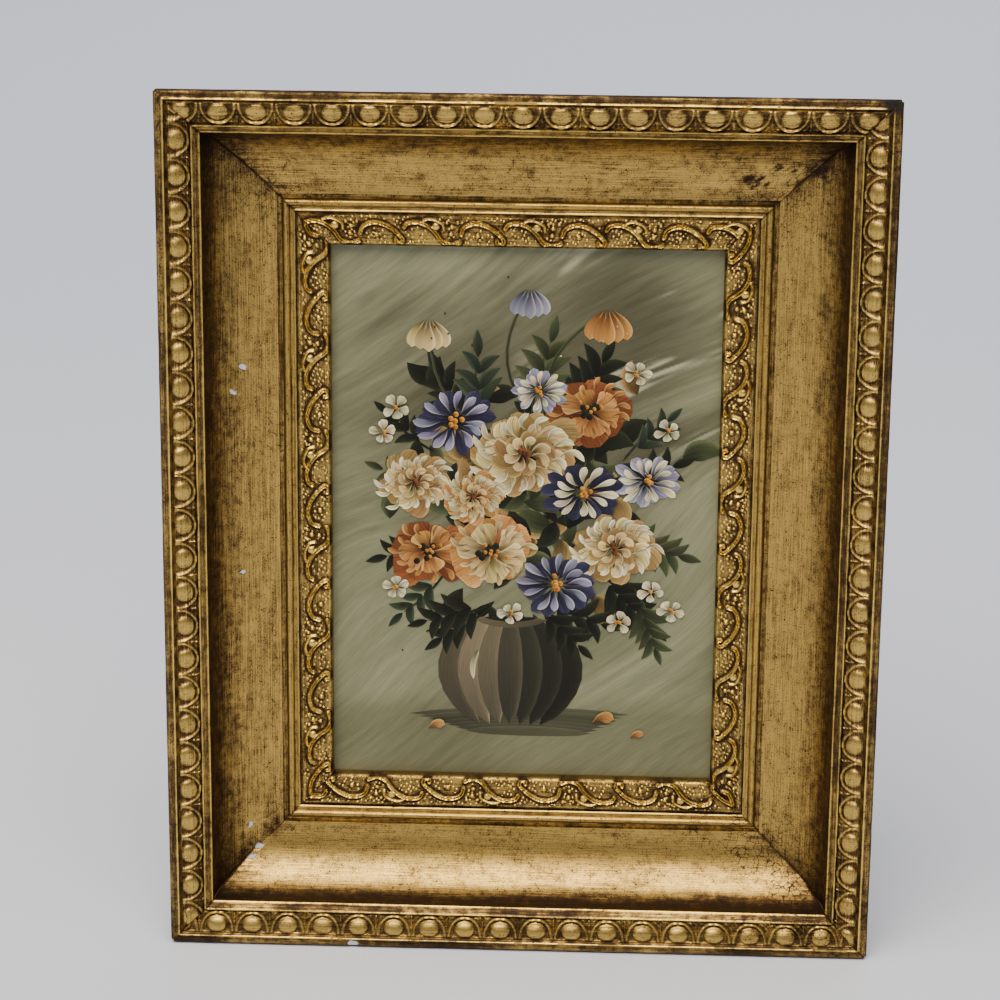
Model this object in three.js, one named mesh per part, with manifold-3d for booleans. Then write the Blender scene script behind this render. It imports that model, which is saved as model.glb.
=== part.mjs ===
// A small framed oil painting: a painted panel in a gilded frame of four mitred rails. Each rail has a flat
// rim strip, an egg-and-dart band, a narrow fillet, a deep cove, a bead and a band of running scrolls.
// Sizes are in millimetres. X runs to the viewer's right, Z runs up and the painted side faces -Y.
// The origin is the middle of the hanger's raised strip, on the face that meets the wall, the plane y = 0.
import * as THREE from "three";
import { mergeVertices } from "three/addons/utils/BufferGeometryUtils.js";
import Module from "manifold-3d";

const wasm = await Module();
wasm.setup();

// Painted panel and the rabbet that holds it
const panelWidth = 127;
const panelHeight = 178;
const panelThickness = 3;
const lipOverlap = 3.5; // how far the frame covers each edge of the panel
const panelPlay = 1; // free space round the panel's edges
const rabbetSpare = 5.1; // room behind the panel, down to the frame's back
const lipThickness = 4; // wood in front of the panel at the sight edge
const touchGap = 0.3; // between pieces that lie against each other

// Widths across the moulding, from the outer edge to the sight edge
const stripWidth = 3.3;
const eggBandWidth = 7.5;
const filletWidth = 2.6;
const coveWidth = 20.1;
const coveLipWidth = 0.6;
const grooveWidth = 1.4;
const beadWidth = 2.6;
const lineWidth = 1.4;
const scrollGrooveWidth = 1;
const scrollBandWidth = 9.5;
const sideLean = 6; // how far the outer side leans in from the rim to the back

// Falls from one level of the moulding to the next, away from the viewer
const eggBandFall = 1.8;
const filletFall = 2.2;
const filletShoulderFall = 0.73; // the part of it that lies on the fillet's outer half
const coveDepth = 16.2;
const scrollBandFall = 1.4;
const quirkDepth = 0.8; // fine grooves beside the egg band
const grooveDepth = 1.1; // grooves beside the bead
const beadRise = 0.6;
const arrisRadius = 1.2; // worn outer edge
const sightArris = 0.6;

// Egg-and-dart ornament
const eggPitchUpright = 10.75;
const eggPitchLevel = 11.2;
const eggRadius = 1.9;
const eggHeight = 1.3;
const eggAcross = 2.65; // from the band's outer edge to the egg's middle
const eggArchHalfWidth = 4.1;
const eggArchFoot = 0.35; // from the band's outer edge to the feet of the arch
const eggArchReach = 5.2;
const eggArchFlatness = 0.6; // 1 is an ellipse, and less is a squarer arch
const ridgeWidth = 0.9;
const ridgeHeight = 0.7;
const dartWidth = 1.5;

// Running scroll ornament
const scrollPitch = 30.6;
const scrollRidgeWidth = 1.3;
const scrollRidgeHeight = 1;
const ribbonLength = 16.8; // the S-shaped ribbon of each repeat
const ribbonRampStart = 3;
const ribbonRampEnd = 12;
const scrollArchStart = 17.6; // the arch that follows the ribbon
const scrollArchLength = 12.4;
const scrollOuterMargin = 2.2;
const scrollInnerMargin = 1;

// Fixings on the back
const hookDrop = 24; // from the frame's top edge down to the peak of the hanger's notches
const hangerLength = 45;
const hangerHeight = 9;
const hangerThickness = 0.8;
const hangerRise = 1.6;
const hangerEar = 8;
const hangerRamp = 2.5;
const toothPitch = 3;
const toothDepth = 1.6;
const nailRadius = 0.7;
const nailLength = 11;
const nailHeadRadius = 1.7;
const nailHeadHeight = 0.8;
const pointLength = 12;
const pointWidth = 5;
const pointThickness = 0.6;
const pointDriven = 5; // the part of each framing point that is in the wood
const pointTaper = 4;
const pointSpacing = 70; // between the two points of a rail

// Fineness of the curved faces
const coveSteps = 10;
const beadSteps = 5;
const arrisSteps = 3;
const eggSides = 5;
const dartSides = 3;
const eggArchSteps = 3;
const scrollSteps = 5;
const roundSides = 8;
const sunk = 0.25; // ornament continues this far into the ground under it

// Stations across the moulding
const eggBandStart = stripWidth;
const filletStart = eggBandStart + eggBandWidth;
const coveStart = filletStart + filletWidth;
const coveEnd = coveStart + coveWidth;
const beadStart = coveEnd + coveLipWidth + grooveWidth;
const beadEnd = beadStart + beadWidth;
const scrollStart = beadEnd + lineWidth + scrollGrooveWidth;
const mouldingWidth = scrollStart + scrollBandWidth;
const rabbetWall = mouldingWidth - lipOverlap - panelPlay;

// Levels above the back
const rabbetDepth = touchGap + panelThickness + rabbetSpare;
const scrollLevel = rabbetDepth + lipThickness + scrollBandFall;
const filletLevel = scrollLevel + coveDepth + filletFall;
const mouldingDepth = filletLevel + eggBandFall;
const panelBack = rabbetSpare;

// Overall sizes
const outerWidth = panelWidth - 2 * lipOverlap + 2 * mouldingWidth;
const outerHeight = panelHeight - 2 * lipOverlap + 2 * mouldingWidth;
const middleHeight = hookDrop - outerHeight / 2;

// Each rail's own directions, and where its eggs and scrolls start, measured along the rail from its middle
const rails = [
  {
    name: "bottom",
    inward: [0, 0, 1],
    along: [1, 0, 0],
    length: outerWidth,
    eggPitch: eggPitchLevel,
    eggShift: 5.7,
    scrollShift: -1.3,
  },
  {
    name: "right",
    inward: [-1, 0, 0],
    along: [0, 0, 1],
    length: outerHeight,
    eggPitch: eggPitchUpright,
    eggShift: 0,
    scrollShift: -10.1,
  },
  {
    name: "top",
    inward: [0, 0, -1],
    along: [-1, 0, 0],
    length: outerWidth,
    eggPitch: eggPitchLevel,
    eggShift: 1.1,
    scrollShift: 6.4,
  },
  {
    name: "left",
    inward: [1, 0, 0],
    along: [0, 0, -1],
    length: outerHeight,
    eggPitch: eggPitchUpright,
    eggShift: -2.1,
    scrollShift: -10.3,
  },
];

const gilding = new THREE.MeshStandardMaterial({ color: "#a8823a", roughness: 0.42, metalness: 0.85 });
const paintedBoard = new THREE.MeshStandardMaterial({ color: "#7d8272", roughness: 0.45, metalness: 0 });
const brassedSteel = new THREE.MeshStandardMaterial({ color: "#b59a5b", roughness: 0.35, metalness: 1 });
const pointSteel = new THREE.MeshStandardMaterial({ color: "#8d8f92", roughness: 0.4, metalness: 1 });

// A closed three.js geometry as a solid that can be joined and cut
function solidFrom(geometry) {
  const bare = geometry.clone();
  bare.deleteAttribute("normal");
  bare.deleteAttribute("uv");
  const merged = mergeVertices(bare, 1e-4);
  return new wasm.Manifold(
    new wasm.Mesh({
      numProp: 3,
      vertProperties: merged.getAttribute("position").array,
      triVerts: new Uint32Array(merged.index.array),
    }),
  );
}

// A solid as a named mesh with flat faces
function meshFrom(solid, name, material) {
  const faces = solid.getMesh();
  const geometry = new THREE.BufferGeometry()
    .setAttribute("position", new THREE.BufferAttribute(faces.vertProperties, 3))
    .setIndex(new THREE.BufferAttribute(faces.triVerts, 1))
    .toNonIndexed();
  geometry.computeVertexNormals();
  const mesh = new THREE.Mesh(geometry, material);
  mesh.name = name;
  return mesh;
}

// A straight-sided solid on an outline of [x, y] points, from z = 0 up to the given depth
function prism(outline, depth) {
  const shape = new THREE.Shape(outline.map(([x, y]) => new THREE.Vector2(x, y)));
  return new THREE.ExtrudeGeometry(shape, { depth, bevelEnabled: false });
}

// Points on an ellipse's arc, angles in degrees, both ends included
function arc(centreX, centreY, radiusX, radiusY, from, to, steps) {
  return Array.from({ length: steps + 1 }, (_, k) => {
    const angle = THREE.MathUtils.degToRad(from + ((to - from) * k) / steps);
    return [centreX + radiusX * Math.cos(angle), centreY + radiusY * Math.sin(angle)];
  });
}

// The places along a rail where a repeated ornament starts or is centred
function runAlong(pitch, shift, reach) {
  const first = Math.ceil((-reach - shift) / pitch);
  const last = Math.floor((reach - shift) / pitch);
  return Array.from({ length: last - first + 1 }, (_, k) => (first + k) * pitch + shift);
}

// The moulding's cross-section: x from the outer edge towards the picture, y from the back to the front
const eggBandOuter = [eggBandStart + quirkDepth, mouldingDepth - quirkDepth / 2];
const eggBandInner = [filletStart - quirkDepth, filletLevel - quirkDepth / 2];
const beadMiddle = (beadStart + beadEnd) / 2;
const beadFoot = scrollLevel - grooveDepth;
const scrollBandOuter = [scrollStart, scrollLevel - sightArris];
const scrollBandInner = [mouldingWidth - sightArris, scrollLevel - scrollBandFall];
const section = [
  [sideLean, 0],
  ...arc(arrisRadius, mouldingDepth - arrisRadius, arrisRadius, arrisRadius, 180, 90, arrisSteps),
  [eggBandStart, mouldingDepth],
  [eggBandStart + quirkDepth / 2, mouldingDepth - quirkDepth],
  eggBandOuter,
  eggBandInner,
  [filletStart - quirkDepth / 2, filletLevel - quirkDepth],
  [filletStart, filletLevel],
  [filletStart + filletWidth / 2, filletLevel - filletShoulderFall],
  ...arc(coveEnd, filletLevel - filletFall, coveWidth, coveDepth, 180, 270, coveSteps),
  [coveEnd + coveLipWidth, scrollLevel],
  [coveEnd + coveLipWidth, scrollLevel - grooveDepth],
  ...arc(beadMiddle, beadFoot, beadWidth / 2, grooveDepth + beadRise, 180, 0, beadSteps),
  [beadEnd, scrollLevel - grooveDepth / 2],
  [beadEnd + lineWidth, scrollLevel - grooveDepth / 2],
  [beadEnd + lineWidth, scrollLevel - grooveDepth - sightArris],
  [scrollStart, scrollLevel - grooveDepth - sightArris],
  scrollBandOuter,
  scrollBandInner,
  [mouldingWidth, scrollLevel - scrollBandFall - sightArris],
  [mouldingWidth, rabbetDepth],
  [rabbetWall, rabbetDepth],
  [rabbetWall, 0],
];

// Turns a drawing of a flat band (u along the rail, v across it, w out of it) into the rail's own space
function bandSpace(outer, inner) {
  const along = new THREE.Vector3(0, 0, 1);
  const across = new THREE.Vector3(inner[0] - outer[0], inner[1] - outer[1], 0).normalize();
  const out = new THREE.Vector3().crossVectors(along, across);
  return new THREE.Matrix4().makeBasis(along, across, out).setPosition(outer[0], outer[1], 0);
}

// Turns a drawing of the plan (x along the rail, y from its outer edge inwards) into the rail's own space
const planSpace = new THREE.Matrix4().makeBasis(
  new THREE.Vector3(0, 0, 1),
  new THREE.Vector3(1, 0, 0),
  new THREE.Vector3(0, 1, 0),
);

// A raised line of triangular section along a curve that lies in the u-v plane
function ridge(curve, width, height, steps) {
  const outline = new THREE.Shape([
    new THREE.Vector2(-height, 0),
    new THREE.Vector2(sunk, -width / 2),
    new THREE.Vector2(sunk, width / 2),
  ]);
  return new THREE.ExtrudeGeometry(outline, { steps, extrudePath: curve, bevelEnabled: false });
}

// The arch round one egg: half a squared ellipse, open to the outer edge of the band
class EggArch extends THREE.Curve {
  constructor(centre) {
    super();
    this.centre = centre;
  }

  getPoint(t, target = new THREE.Vector3()) {
    const cosine = Math.cos(Math.PI * t);
    const sine = Math.sin(Math.PI * t);
    return target.set(
      this.centre - eggArchHalfWidth * Math.sign(cosine) * Math.abs(cosine) ** eggArchFlatness,
      eggArchFoot + eggArchReach * Math.abs(sine) ** eggArchFlatness,
      0,
    );
  }
}

// The scroll's ribbon: level beside the outer margin, then a cosine ramp down to the sight edge
class ScrollRibbon extends THREE.Curve {
  constructor(start) {
    super();
    this.start = start;
  }

  getPoint(t, target = new THREE.Vector3()) {
    const run = ribbonLength * t;
    const ramp = THREE.MathUtils.clamp((run - ribbonRampStart) / (ribbonRampEnd - ribbonRampStart), 0, 1);
    const lowest = scrollBandWidth - scrollInnerMargin;
    const fall = ((lowest - scrollOuterMargin) * (1 - Math.cos(Math.PI * ramp))) / 2;
    return target.set(this.start - run, scrollOuterMargin + fall, 0);
  }
}

// The scroll's arch: half an ellipse, open to the sight edge
class ScrollArch extends THREE.Curve {
  constructor(start) {
    super();
    this.start = start;
  }

  getPoint(t, target = new THREE.Vector3()) {
    const angle = Math.PI * t;
    const foot = scrollBandWidth - 2 * scrollInnerMargin;
    const across = (scrollArchLength * (1 - Math.cos(angle))) / 2;
    return target.set(
      this.start - scrollArchStart - across,
      foot - (foot - scrollOuterMargin) * Math.sin(angle),
      0,
    );
  }
}

// One egg, its arch and the dart that follows it, on the egg band
function eggUnit(centre, pitch, space) {
  const bandSlope = Math.hypot(eggBandInner[0] - eggBandOuter[0], eggBandInner[1] - eggBandOuter[1]);
  const egg = new THREE.LatheGeometry(
    [
      new THREE.Vector2(0, -sunk),
      new THREE.Vector2(eggRadius, -sunk),
      new THREE.Vector2(eggRadius * Math.SQRT1_2, eggHeight * Math.SQRT1_2),
      new THREE.Vector2(0, eggHeight),
    ],
    eggSides,
  )
    .rotateX(Math.PI / 2)
    .translate(centre, eggAcross, 0);
  const arch = ridge(new EggArch(centre), ridgeWidth, ridgeHeight, eggArchSteps);
  const dart = new THREE.ConeGeometry(dartWidth / 2, bandSlope - ridgeWidth, dartSides)
    .translate(centre + pitch / 2, bandSlope / 2, 0);
  return [egg, arch, dart].map((piece) => solidFrom(piece.applyMatrix4(space)));
}

// One repeat of the running scroll, on the scroll band
function scrollUnit(start, space) {
  const curves = [new ScrollRibbon(start), new ScrollArch(start)];
  return curves.map((curve) =>
    solidFrom(ridge(curve, scrollRidgeWidth, scrollRidgeHeight, scrollSteps).applyMatrix4(space)),
  );
}

// A framing point seen from the back: square end over the panel, sharp end in the wood.
// The slot that it sits in is the same outline, larger by the given gap.
function framingPoint(place, gap) {
  const sharp = rabbetWall - pointDriven - gap;
  const shoulder = sharp + pointTaper;
  const end = rabbetWall - pointDriven + pointLength + gap;
  const half = pointWidth / 2 + gap;
  const outline = [
    [place, sharp],
    [place + half, shoulder],
    [place + half, end],
    [place - half, end],
    [place - half, shoulder],
  ];
  return prism(outline, pointThickness + 2 * gap)
    .translate(0, 0, panelBack - touchGap - pointThickness - gap)
    .applyMatrix4(planSpace);
}

// One mitred rail with its ornament, its own x inwards, y to the front and z along its length
function railSolid(rail) {
  const half = rail.length / 2;
  const mitreGap = touchGap * Math.SQRT1_2;
  const beyond = 5;
  let solid = solidFrom(prism(section, rail.length).translate(0, 0, -half));
  const eggSpace = bandSpace(eggBandOuter, eggBandInner);
  const eggLine = (eggBandStart + filletStart) / 2;
  for (const place of runAlong(rail.eggPitch, rail.eggShift, half - eggLine)) {
    for (const piece of eggUnit(place, rail.eggPitch, eggSpace)) solid = solid.add(piece);
  }
  const scrollSpace = bandSpace(scrollBandOuter, scrollBandInner);
  for (const place of runAlong(scrollPitch, rail.scrollShift, half)) {
    for (const piece of scrollUnit(place, scrollSpace)) solid = solid.add(piece);
  }
  const mitred = prism(
    [
      [-half + mitreGap - beyond, -beyond],
      [half - mitreGap + beyond, -beyond],
      [half - mitreGap - mouldingWidth - beyond, mouldingWidth + beyond],
      [-half + mitreGap + mouldingWidth + beyond, mouldingWidth + beyond],
    ],
    mouldingDepth + 2 * beyond,
  )
    .translate(0, 0, -beyond)
    .applyMatrix4(planSpace);
  solid = solid.intersect(solidFrom(mitred));
  for (const side of [-1, 1]) {
    solid = solid.subtract(solidFrom(framingPoint((side * pointSpacing) / 2, touchGap)));
  }
  return solid;
}

// The rail's own space in the frame's space
function railSpace(rail) {
  const inward = new THREE.Vector3(...rail.inward);
  const along = new THREE.Vector3(...rail.along);
  const reach = rail.inward[0] === 0 ? outerHeight / 2 : outerWidth / 2;
  const place = inward.clone().multiplyScalar(-reach).add(new THREE.Vector3(0, 0, middleHeight));
  return new THREE.Matrix4().makeBasis(inward, new THREE.Vector3(0, -1, 0), along).setPosition(place);
}

// The sawtooth hanger: a strip with a flat ear at each end, raised in the middle, notched along its lower edge
function hangerSolid() {
  const half = hangerLength / 2;
  const step = [
    [half, touchGap],
    [half - hangerEar, touchGap],
    [half - hangerEar - hangerRamp, touchGap + hangerRise],
  ];
  const near = [...step, ...step.map(([x, y]) => [-x, y]).reverse()];
  const far = near.map(([x, y]) => [x, y + hangerThickness]).reverse();
  let solid = solidFrom(prism([...near, ...far], hangerHeight).translate(0, 0, -toothDepth));
  const reach = half - hangerEar - hangerRamp - toothPitch;
  for (const place of runAlong(toothPitch, 0, reach)) {
    const notch = prism(
      [
        [place - toothPitch / 2, -toothDepth - sunk],
        [place + toothPitch / 2, -toothDepth - sunk],
        [place, 0],
      ],
      2 * hangerEar,
    );
    solid = solid.subtract(solidFrom(notch.rotateX(Math.PI / 2).translate(0, hangerEar, 0)));
  }
  for (const place of nailPlaces) {
    const hole = new THREE.CylinderGeometry(nailBore, nailBore, hangerEar, roundSides);
    solid = solid.subtract(solidFrom(hole.translate(place, 0, nailHeight)));
  }
  return solid;
}

// A small nail with a domed head, driven from the back towards the front, its length given below the head
function nailGeometry(radius, length, headRadius, headHeight) {
  return new THREE.LatheGeometry(
    [
      new THREE.Vector2(0, -length),
      new THREE.Vector2(radius, -length + 2 * radius),
      new THREE.Vector2(radius, 0),
      new THREE.Vector2(headRadius, 0),
      new THREE.Vector2(headRadius * Math.SQRT1_2, headHeight * Math.SQRT1_2),
      new THREE.Vector2(0, headHeight),
    ],
    roundSides,
  );
}

const nailPlaces = [-1, 1].map((side) => (side * (hangerLength - hangerEar)) / 2);
const nailHeight = hangerHeight / 2 - toothDepth;
const nailBore = nailRadius + touchGap;
const nailSeat = 2 * touchGap + hangerThickness;

// Everything is placed from the frame's back and the notches' peak, and the group moves it all to the origin
const framedPainting = new THREE.Group();
framedPainting.position.set(0, -(touchGap + hangerRise + hangerThickness), -nailHeight);

for (const rail of rails) {
  const space = railSpace(rail);
  let solid = railSolid(rail);
  if (rail.name === "top") {
    for (const place of nailPlaces) {
      const hole = new THREE.CylinderGeometry(nailBore, nailBore, 2 * nailLength, roundSides)
        .translate(place, 0, nailHeight)
        .applyMatrix4(space.clone().invert());
      solid = solid.subtract(solidFrom(hole));
    }
  }
  const mesh = meshFrom(solid, `rail_${rail.name}`, gilding);
  mesh.applyMatrix4(space);
  framedPainting.add(mesh);
  for (const side of [-1, 1]) {
    const point = new THREE.Mesh(framingPoint((side * pointSpacing) / 2, 0), pointSteel);
    point.name = `framing_point_${rail.name}_${side < 0 ? 1 : 2}`;
    point.applyMatrix4(space);
    framedPainting.add(point);
  }
}

const panel = new THREE.Mesh(new THREE.BoxGeometry(panelWidth, panelThickness, panelHeight), paintedBoard);
panel.name = "painted_panel";
panel.position.set(0, -panelBack - panelThickness / 2, middleHeight);
framedPainting.add(panel);

framedPainting.add(meshFrom(hangerSolid(), "sawtooth_hanger", brassedSteel));

nailPlaces.forEach((place, k) => {
  const shape = nailGeometry(nailRadius, nailLength, nailHeadRadius, nailHeadHeight);
  const nail = new THREE.Mesh(shape, brassedSteel);
  nail.name = `hanger_nail_${k + 1}`;
  nail.position.set(place, nailSeat, nailHeight);
  framedPainting.add(nail);
});

export default framedPainting;
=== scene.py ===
"""Looks of a small framed oil painting: four gilded rails, a painted panel and the fixings on its back."""

import logging
import math
from dataclasses import dataclass, field
from enum import Enum

import bpy
import numpy as np
from mathutils import Euler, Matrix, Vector


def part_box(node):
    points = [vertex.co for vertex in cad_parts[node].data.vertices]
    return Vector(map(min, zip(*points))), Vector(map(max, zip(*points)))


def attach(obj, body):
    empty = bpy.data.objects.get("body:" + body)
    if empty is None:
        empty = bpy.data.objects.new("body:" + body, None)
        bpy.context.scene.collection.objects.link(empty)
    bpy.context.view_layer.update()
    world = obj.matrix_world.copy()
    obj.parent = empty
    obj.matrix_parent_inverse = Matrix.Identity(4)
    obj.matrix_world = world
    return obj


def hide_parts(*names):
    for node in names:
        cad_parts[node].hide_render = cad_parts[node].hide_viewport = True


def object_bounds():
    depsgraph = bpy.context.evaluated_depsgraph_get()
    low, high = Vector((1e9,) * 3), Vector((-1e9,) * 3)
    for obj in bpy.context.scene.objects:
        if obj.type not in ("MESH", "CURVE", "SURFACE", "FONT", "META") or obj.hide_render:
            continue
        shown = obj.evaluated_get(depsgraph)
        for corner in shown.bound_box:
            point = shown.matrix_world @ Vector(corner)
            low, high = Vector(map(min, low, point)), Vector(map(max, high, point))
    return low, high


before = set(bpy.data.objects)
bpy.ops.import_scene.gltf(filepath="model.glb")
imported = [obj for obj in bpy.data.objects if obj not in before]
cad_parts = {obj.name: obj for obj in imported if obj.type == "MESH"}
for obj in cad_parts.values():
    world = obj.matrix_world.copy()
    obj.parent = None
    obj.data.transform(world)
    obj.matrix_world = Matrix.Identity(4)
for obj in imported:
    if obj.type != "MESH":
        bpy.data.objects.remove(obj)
CAD_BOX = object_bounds()

MM = 0.001
log = logging.getLogger("framed_painting")

# A ramp takes its first two numbers to its last two.
# A step holds an amount and the two values between which it comes in.
Ramp = tuple[float, float, float, float]
Step = tuple[float, float, float]
Colour = tuple[float, float, float, float]


# Colour, noise and curves


def linear(code: str) -> Colour:
    """Turns an sRGB hex colour into linear light.

    Args:
        code: the colour as "#rrggbb".

    Returns:
        Red, green, blue and alpha; each channel c becomes ((c + 0.055) / 1.055) to the power 2.4.
    """
    channels = [int(code[k : k + 2], 16) / 255 for k in (1, 3, 5)]
    return (*[c / 12.92 if c <= 0.04045 else ((c + 0.055) / 1.055) ** 2.4 for c in channels], 1.0)


def rgb(code: str) -> np.ndarray:
    """The linear red, green and blue of an sRGB hex colour, as an array."""
    return np.array(linear(code)[:3])


def smooth_step(low: float, high: float, value: np.ndarray) -> np.ndarray:
    """Goes from 0 at low to 1 at high by the cubic 3t^2 - 2t^3.

    Args:
        low: the value where the step starts.
        high: the value where it ends.
        value: the numbers to be mapped.

    Returns:
        An array of the same shape, in 0..1.
    """
    t = np.clip((value - low) / (high - low), 0, 1)
    return t * t * (3 - 2 * t)


def stepped(step: Step, value: np.ndarray) -> np.ndarray:
    """The amount of a step that has come in at each value, by the cubic step."""
    amount, low, high = step
    return amount * smooth_step(low, high, value)


def bell(distance: np.ndarray, width: float) -> np.ndarray:
    """A round ridge: exp(-(distance / width)^2)."""
    return np.exp(-((distance / width) ** 2))


def noise(x: np.ndarray, y: np.ndarray, cell: float, seed: int) -> np.ndarray:
    """Smooth noise: random values on a square lattice, blended between lattice points by the cubic step.

    Args:
        x: first coordinate of each point.
        y: second coordinate of each point.
        cell: size of one lattice square.
        seed: number that fixes the random values.

    Returns:
        Values in -1..1.
    """
    side = 256
    table = np.random.default_rng(seed).uniform(-1, 1, (side, side))
    column, row = np.floor(x / cell), np.floor(y / cell)
    across = smooth_step(0, 1, x / cell - column)
    up = smooth_step(0, 1, y / cell - row)
    column, row = column.astype(int), row.astype(int)

    def at(right: int, above: int) -> np.ndarray:
        """The lattice values at one corner of each point's square."""
        return table[(column + right) % side, (row + above) % side]

    low = at(0, 0) * (1 - across) + at(1, 0) * across
    high = at(0, 1) * (1 - across) + at(1, 1) * across
    return low * (1 - up) + high * up


def blurred(heights: np.ndarray, reach: int) -> np.ndarray:
    """The mean of each value's neighbours, twice over, by running sums along both axes.

    Args:
        heights: the field to be blurred.
        reach: how many samples each side count.

    Returns:
        A field of the same shape.
    """
    result = heights
    for axis in (0, 1, 0, 1):
        pad = [(0, 0), (0, 0)]
        pad[axis] = (reach + 1, reach)
        sums = np.cumsum(np.pad(result, pad, mode="edge"), axis=axis)
        count = 2 * reach + 1
        ahead = np.take(sums, range(count, sums.shape[axis]), axis=axis)
        behind = np.take(sums, range(0, sums.shape[axis] - count), axis=axis)
        result = (ahead - behind) / count
    return result


def smooth_path(points: list[tuple[float, float]], count: int) -> np.ndarray:
    """A curve through the given points: each stretch is a cubic whose end slopes come from its neighbours.

    Args:
        points: at least two points.
        count: samples for each stretch.

    Returns:
        The samples, an array of (x, y).
    """
    p = np.array([points[0], *points, points[-1]], float)
    t = np.linspace(0, 1, count, endpoint=False)[None, :, None]
    a, b, c, d = (p[k : len(p) - 3 + k, None, :] for k in range(4))
    curve = 0.5 * (2 * b + (c - a) * t + (2 * a - 5 * b + 4 * c - d) * t**2 + (3 * b - a - 3 * c + d) * t**3)
    return np.vstack([curve.reshape(-1, 2), p[-1:]])


def line(start: tuple[float, float], end: tuple[float, float], count: int) -> np.ndarray:
    """Points at equal steps on a straight line, without its end."""
    t = np.linspace(0, 1, count, endpoint=False)[:, None]
    return np.array(start) * (1 - t) + np.array(end) * t


def arc(centre: tuple, radii: tuple, start: float, end: float, count: int) -> np.ndarray:
    """Points at equal angles on an ellipse's arc, angles in degrees, without its end."""
    angle = np.radians(np.linspace(start, end, count, endpoint=False))
    return np.stack([centre[0] + radii[0] * np.cos(angle), centre[1] + radii[1] * np.sin(angle)], 1)


# Meshes and nodes


def mesh_object(name: str, vertices: np.ndarray, faces: list, smooth: bool = True) -> bpy.types.Object:
    """Makes an object at the origin from vertices in metres.

    Args:
        name: the object's name.
        vertices: an array of (x, y, z).
        faces: a list of vertex numbers for each face.
        smooth: whether its faces are shaded smooth.

    Returns:
        The object, linked to the scene.
    """
    mesh = bpy.data.meshes.new(name)
    mesh.from_pydata(vertices.tolist(), [], faces)
    mesh.update()
    mesh.polygons.foreach_set("use_smooth", np.full(len(mesh.polygons), smooth))
    made = bpy.data.objects.new(name, mesh)
    bpy.context.scene.collection.objects.link(made)
    return made


def grid_faces(rows: int, columns: int, closed: bool = False) -> np.ndarray:
    """The quads of a grid whose vertices run along each row in turn.

    Args:
        rows: number of rows.
        columns: vertices in a row.
        closed: whether the last row joins the first.

    Returns:
        An array of four vertex numbers for each quad.
    """
    row = np.arange(rows if closed else rows - 1)[:, None]
    column = np.arange(columns - 1)[None, :]
    here, above = row * columns + column, (row + 1) % rows * columns + column
    return np.stack([here, here + 1, above + 1, above], -1).reshape(-1, 4)


def outward(vertices: np.ndarray, quads: np.ndarray) -> bool:
    """Whether the quads of a closed skin face outwards.

    It adds up the volumes (a - m) . ((b - m) x (c - m)) of the tetrahedra from the middle m to each triangle.

    Args:
        vertices: the points.
        quads: four vertex numbers for each face.

    Returns:
        True where the sum is positive.
    """
    p = vertices[quads] - vertices.mean(0)
    halves = (np.cross(p[:, 1], p[:, 2]) * p[:, 0]).sum() + (np.cross(p[:, 2], p[:, 3]) * p[:, 0]).sum()
    return halves > 0


def ring_solid(name: str, rings: np.ndarray, smooth: bool = True) -> bpy.types.Object:
    """A closed solid through a row of closed outlines, with a flat cap on the first and the last.

    Args:
        name: the object's name.
        rings: an array of rings x points x 3, in metres.
        smooth: whether its gentle edges are shaded smooth.

    Returns:
        The object.
    """
    rows, points = rings.shape[:2]
    vertices = rings.transpose(1, 0, 2).reshape(-1, 3)
    quads = grid_faces(points, rows, closed=True)
    first, last = np.arange(points) * rows, np.arange(points) * rows + rows - 1
    caps = [first.tolist(), last[::-1].tolist()]
    if not outward(vertices, quads):
        quads, caps = quads[:, ::-1], [cap[::-1] for cap in caps]
    made = mesh_object(name, vertices, [*quads.tolist(), *caps], smooth)
    made.data.set_sharp_from_angle(angle=math.radians(40))
    return made


def set_attribute(made: bpy.types.Object, name: str, kind: str, values: np.ndarray) -> None:
    """Stores one value for each vertex as a named attribute.

    Args:
        made: the object whose mesh gets the attribute.
        name: the attribute's name.
        kind: FLOAT, FLOAT_VECTOR or FLOAT_COLOR.
        values: the values, one row for each vertex.
    """
    field_name = {"FLOAT": "value", "FLOAT_VECTOR": "vector", "FLOAT_COLOR": "color"}[kind]
    attribute = made.data.attributes.new(name, kind, "POINT")
    attribute.data.foreach_set(field_name, np.ascontiguousarray(values, np.float32).ravel())


def feed(tree: bpy.types.NodeTree, node: bpy.types.Node, links: dict) -> None:
    """Gives a node's inputs, by name or number, a link from an output socket or a plain value."""
    for key, value in links.items():
        if isinstance(value, bpy.types.NodeSocket):
            tree.links.new(value, node.inputs[key])
        else:
            node.inputs[key].default_value = value


def add(tree: bpy.types.NodeTree, kind: str, links: dict | None = None, **settings: object) -> bpy.types.Node:
    """Adds one node to a material.

    Args:
        tree: the material's node tree.
        kind: the node's type name, without "ShaderNode".
        links: input socket name or number to an output socket or to a plain value.
        settings: the node's own properties.

    Returns:
        The new node.
    """
    node = tree.nodes.new("ShaderNode" + kind)
    for key, value in settings.items():
        setattr(node, key, value)
    feed(tree, node, links or {})
    return node


def new_material(name: str) -> tuple[bpy.types.Material, bpy.types.NodeTree, bpy.types.Node]:
    """An empty material with one Principled shader.

    Args:
        name: the material's name.

    Returns:
        The material, its tree and the shader.
    """
    material = bpy.data.materials.new(name)
    material.use_nodes = True
    tree = material.node_tree
    tree.nodes.clear()
    shader = add(tree, "BsdfPrincipled")
    add(tree, "OutputMaterial", {"Surface": shader.outputs["BSDF"]})
    return material, tree, shader


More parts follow.
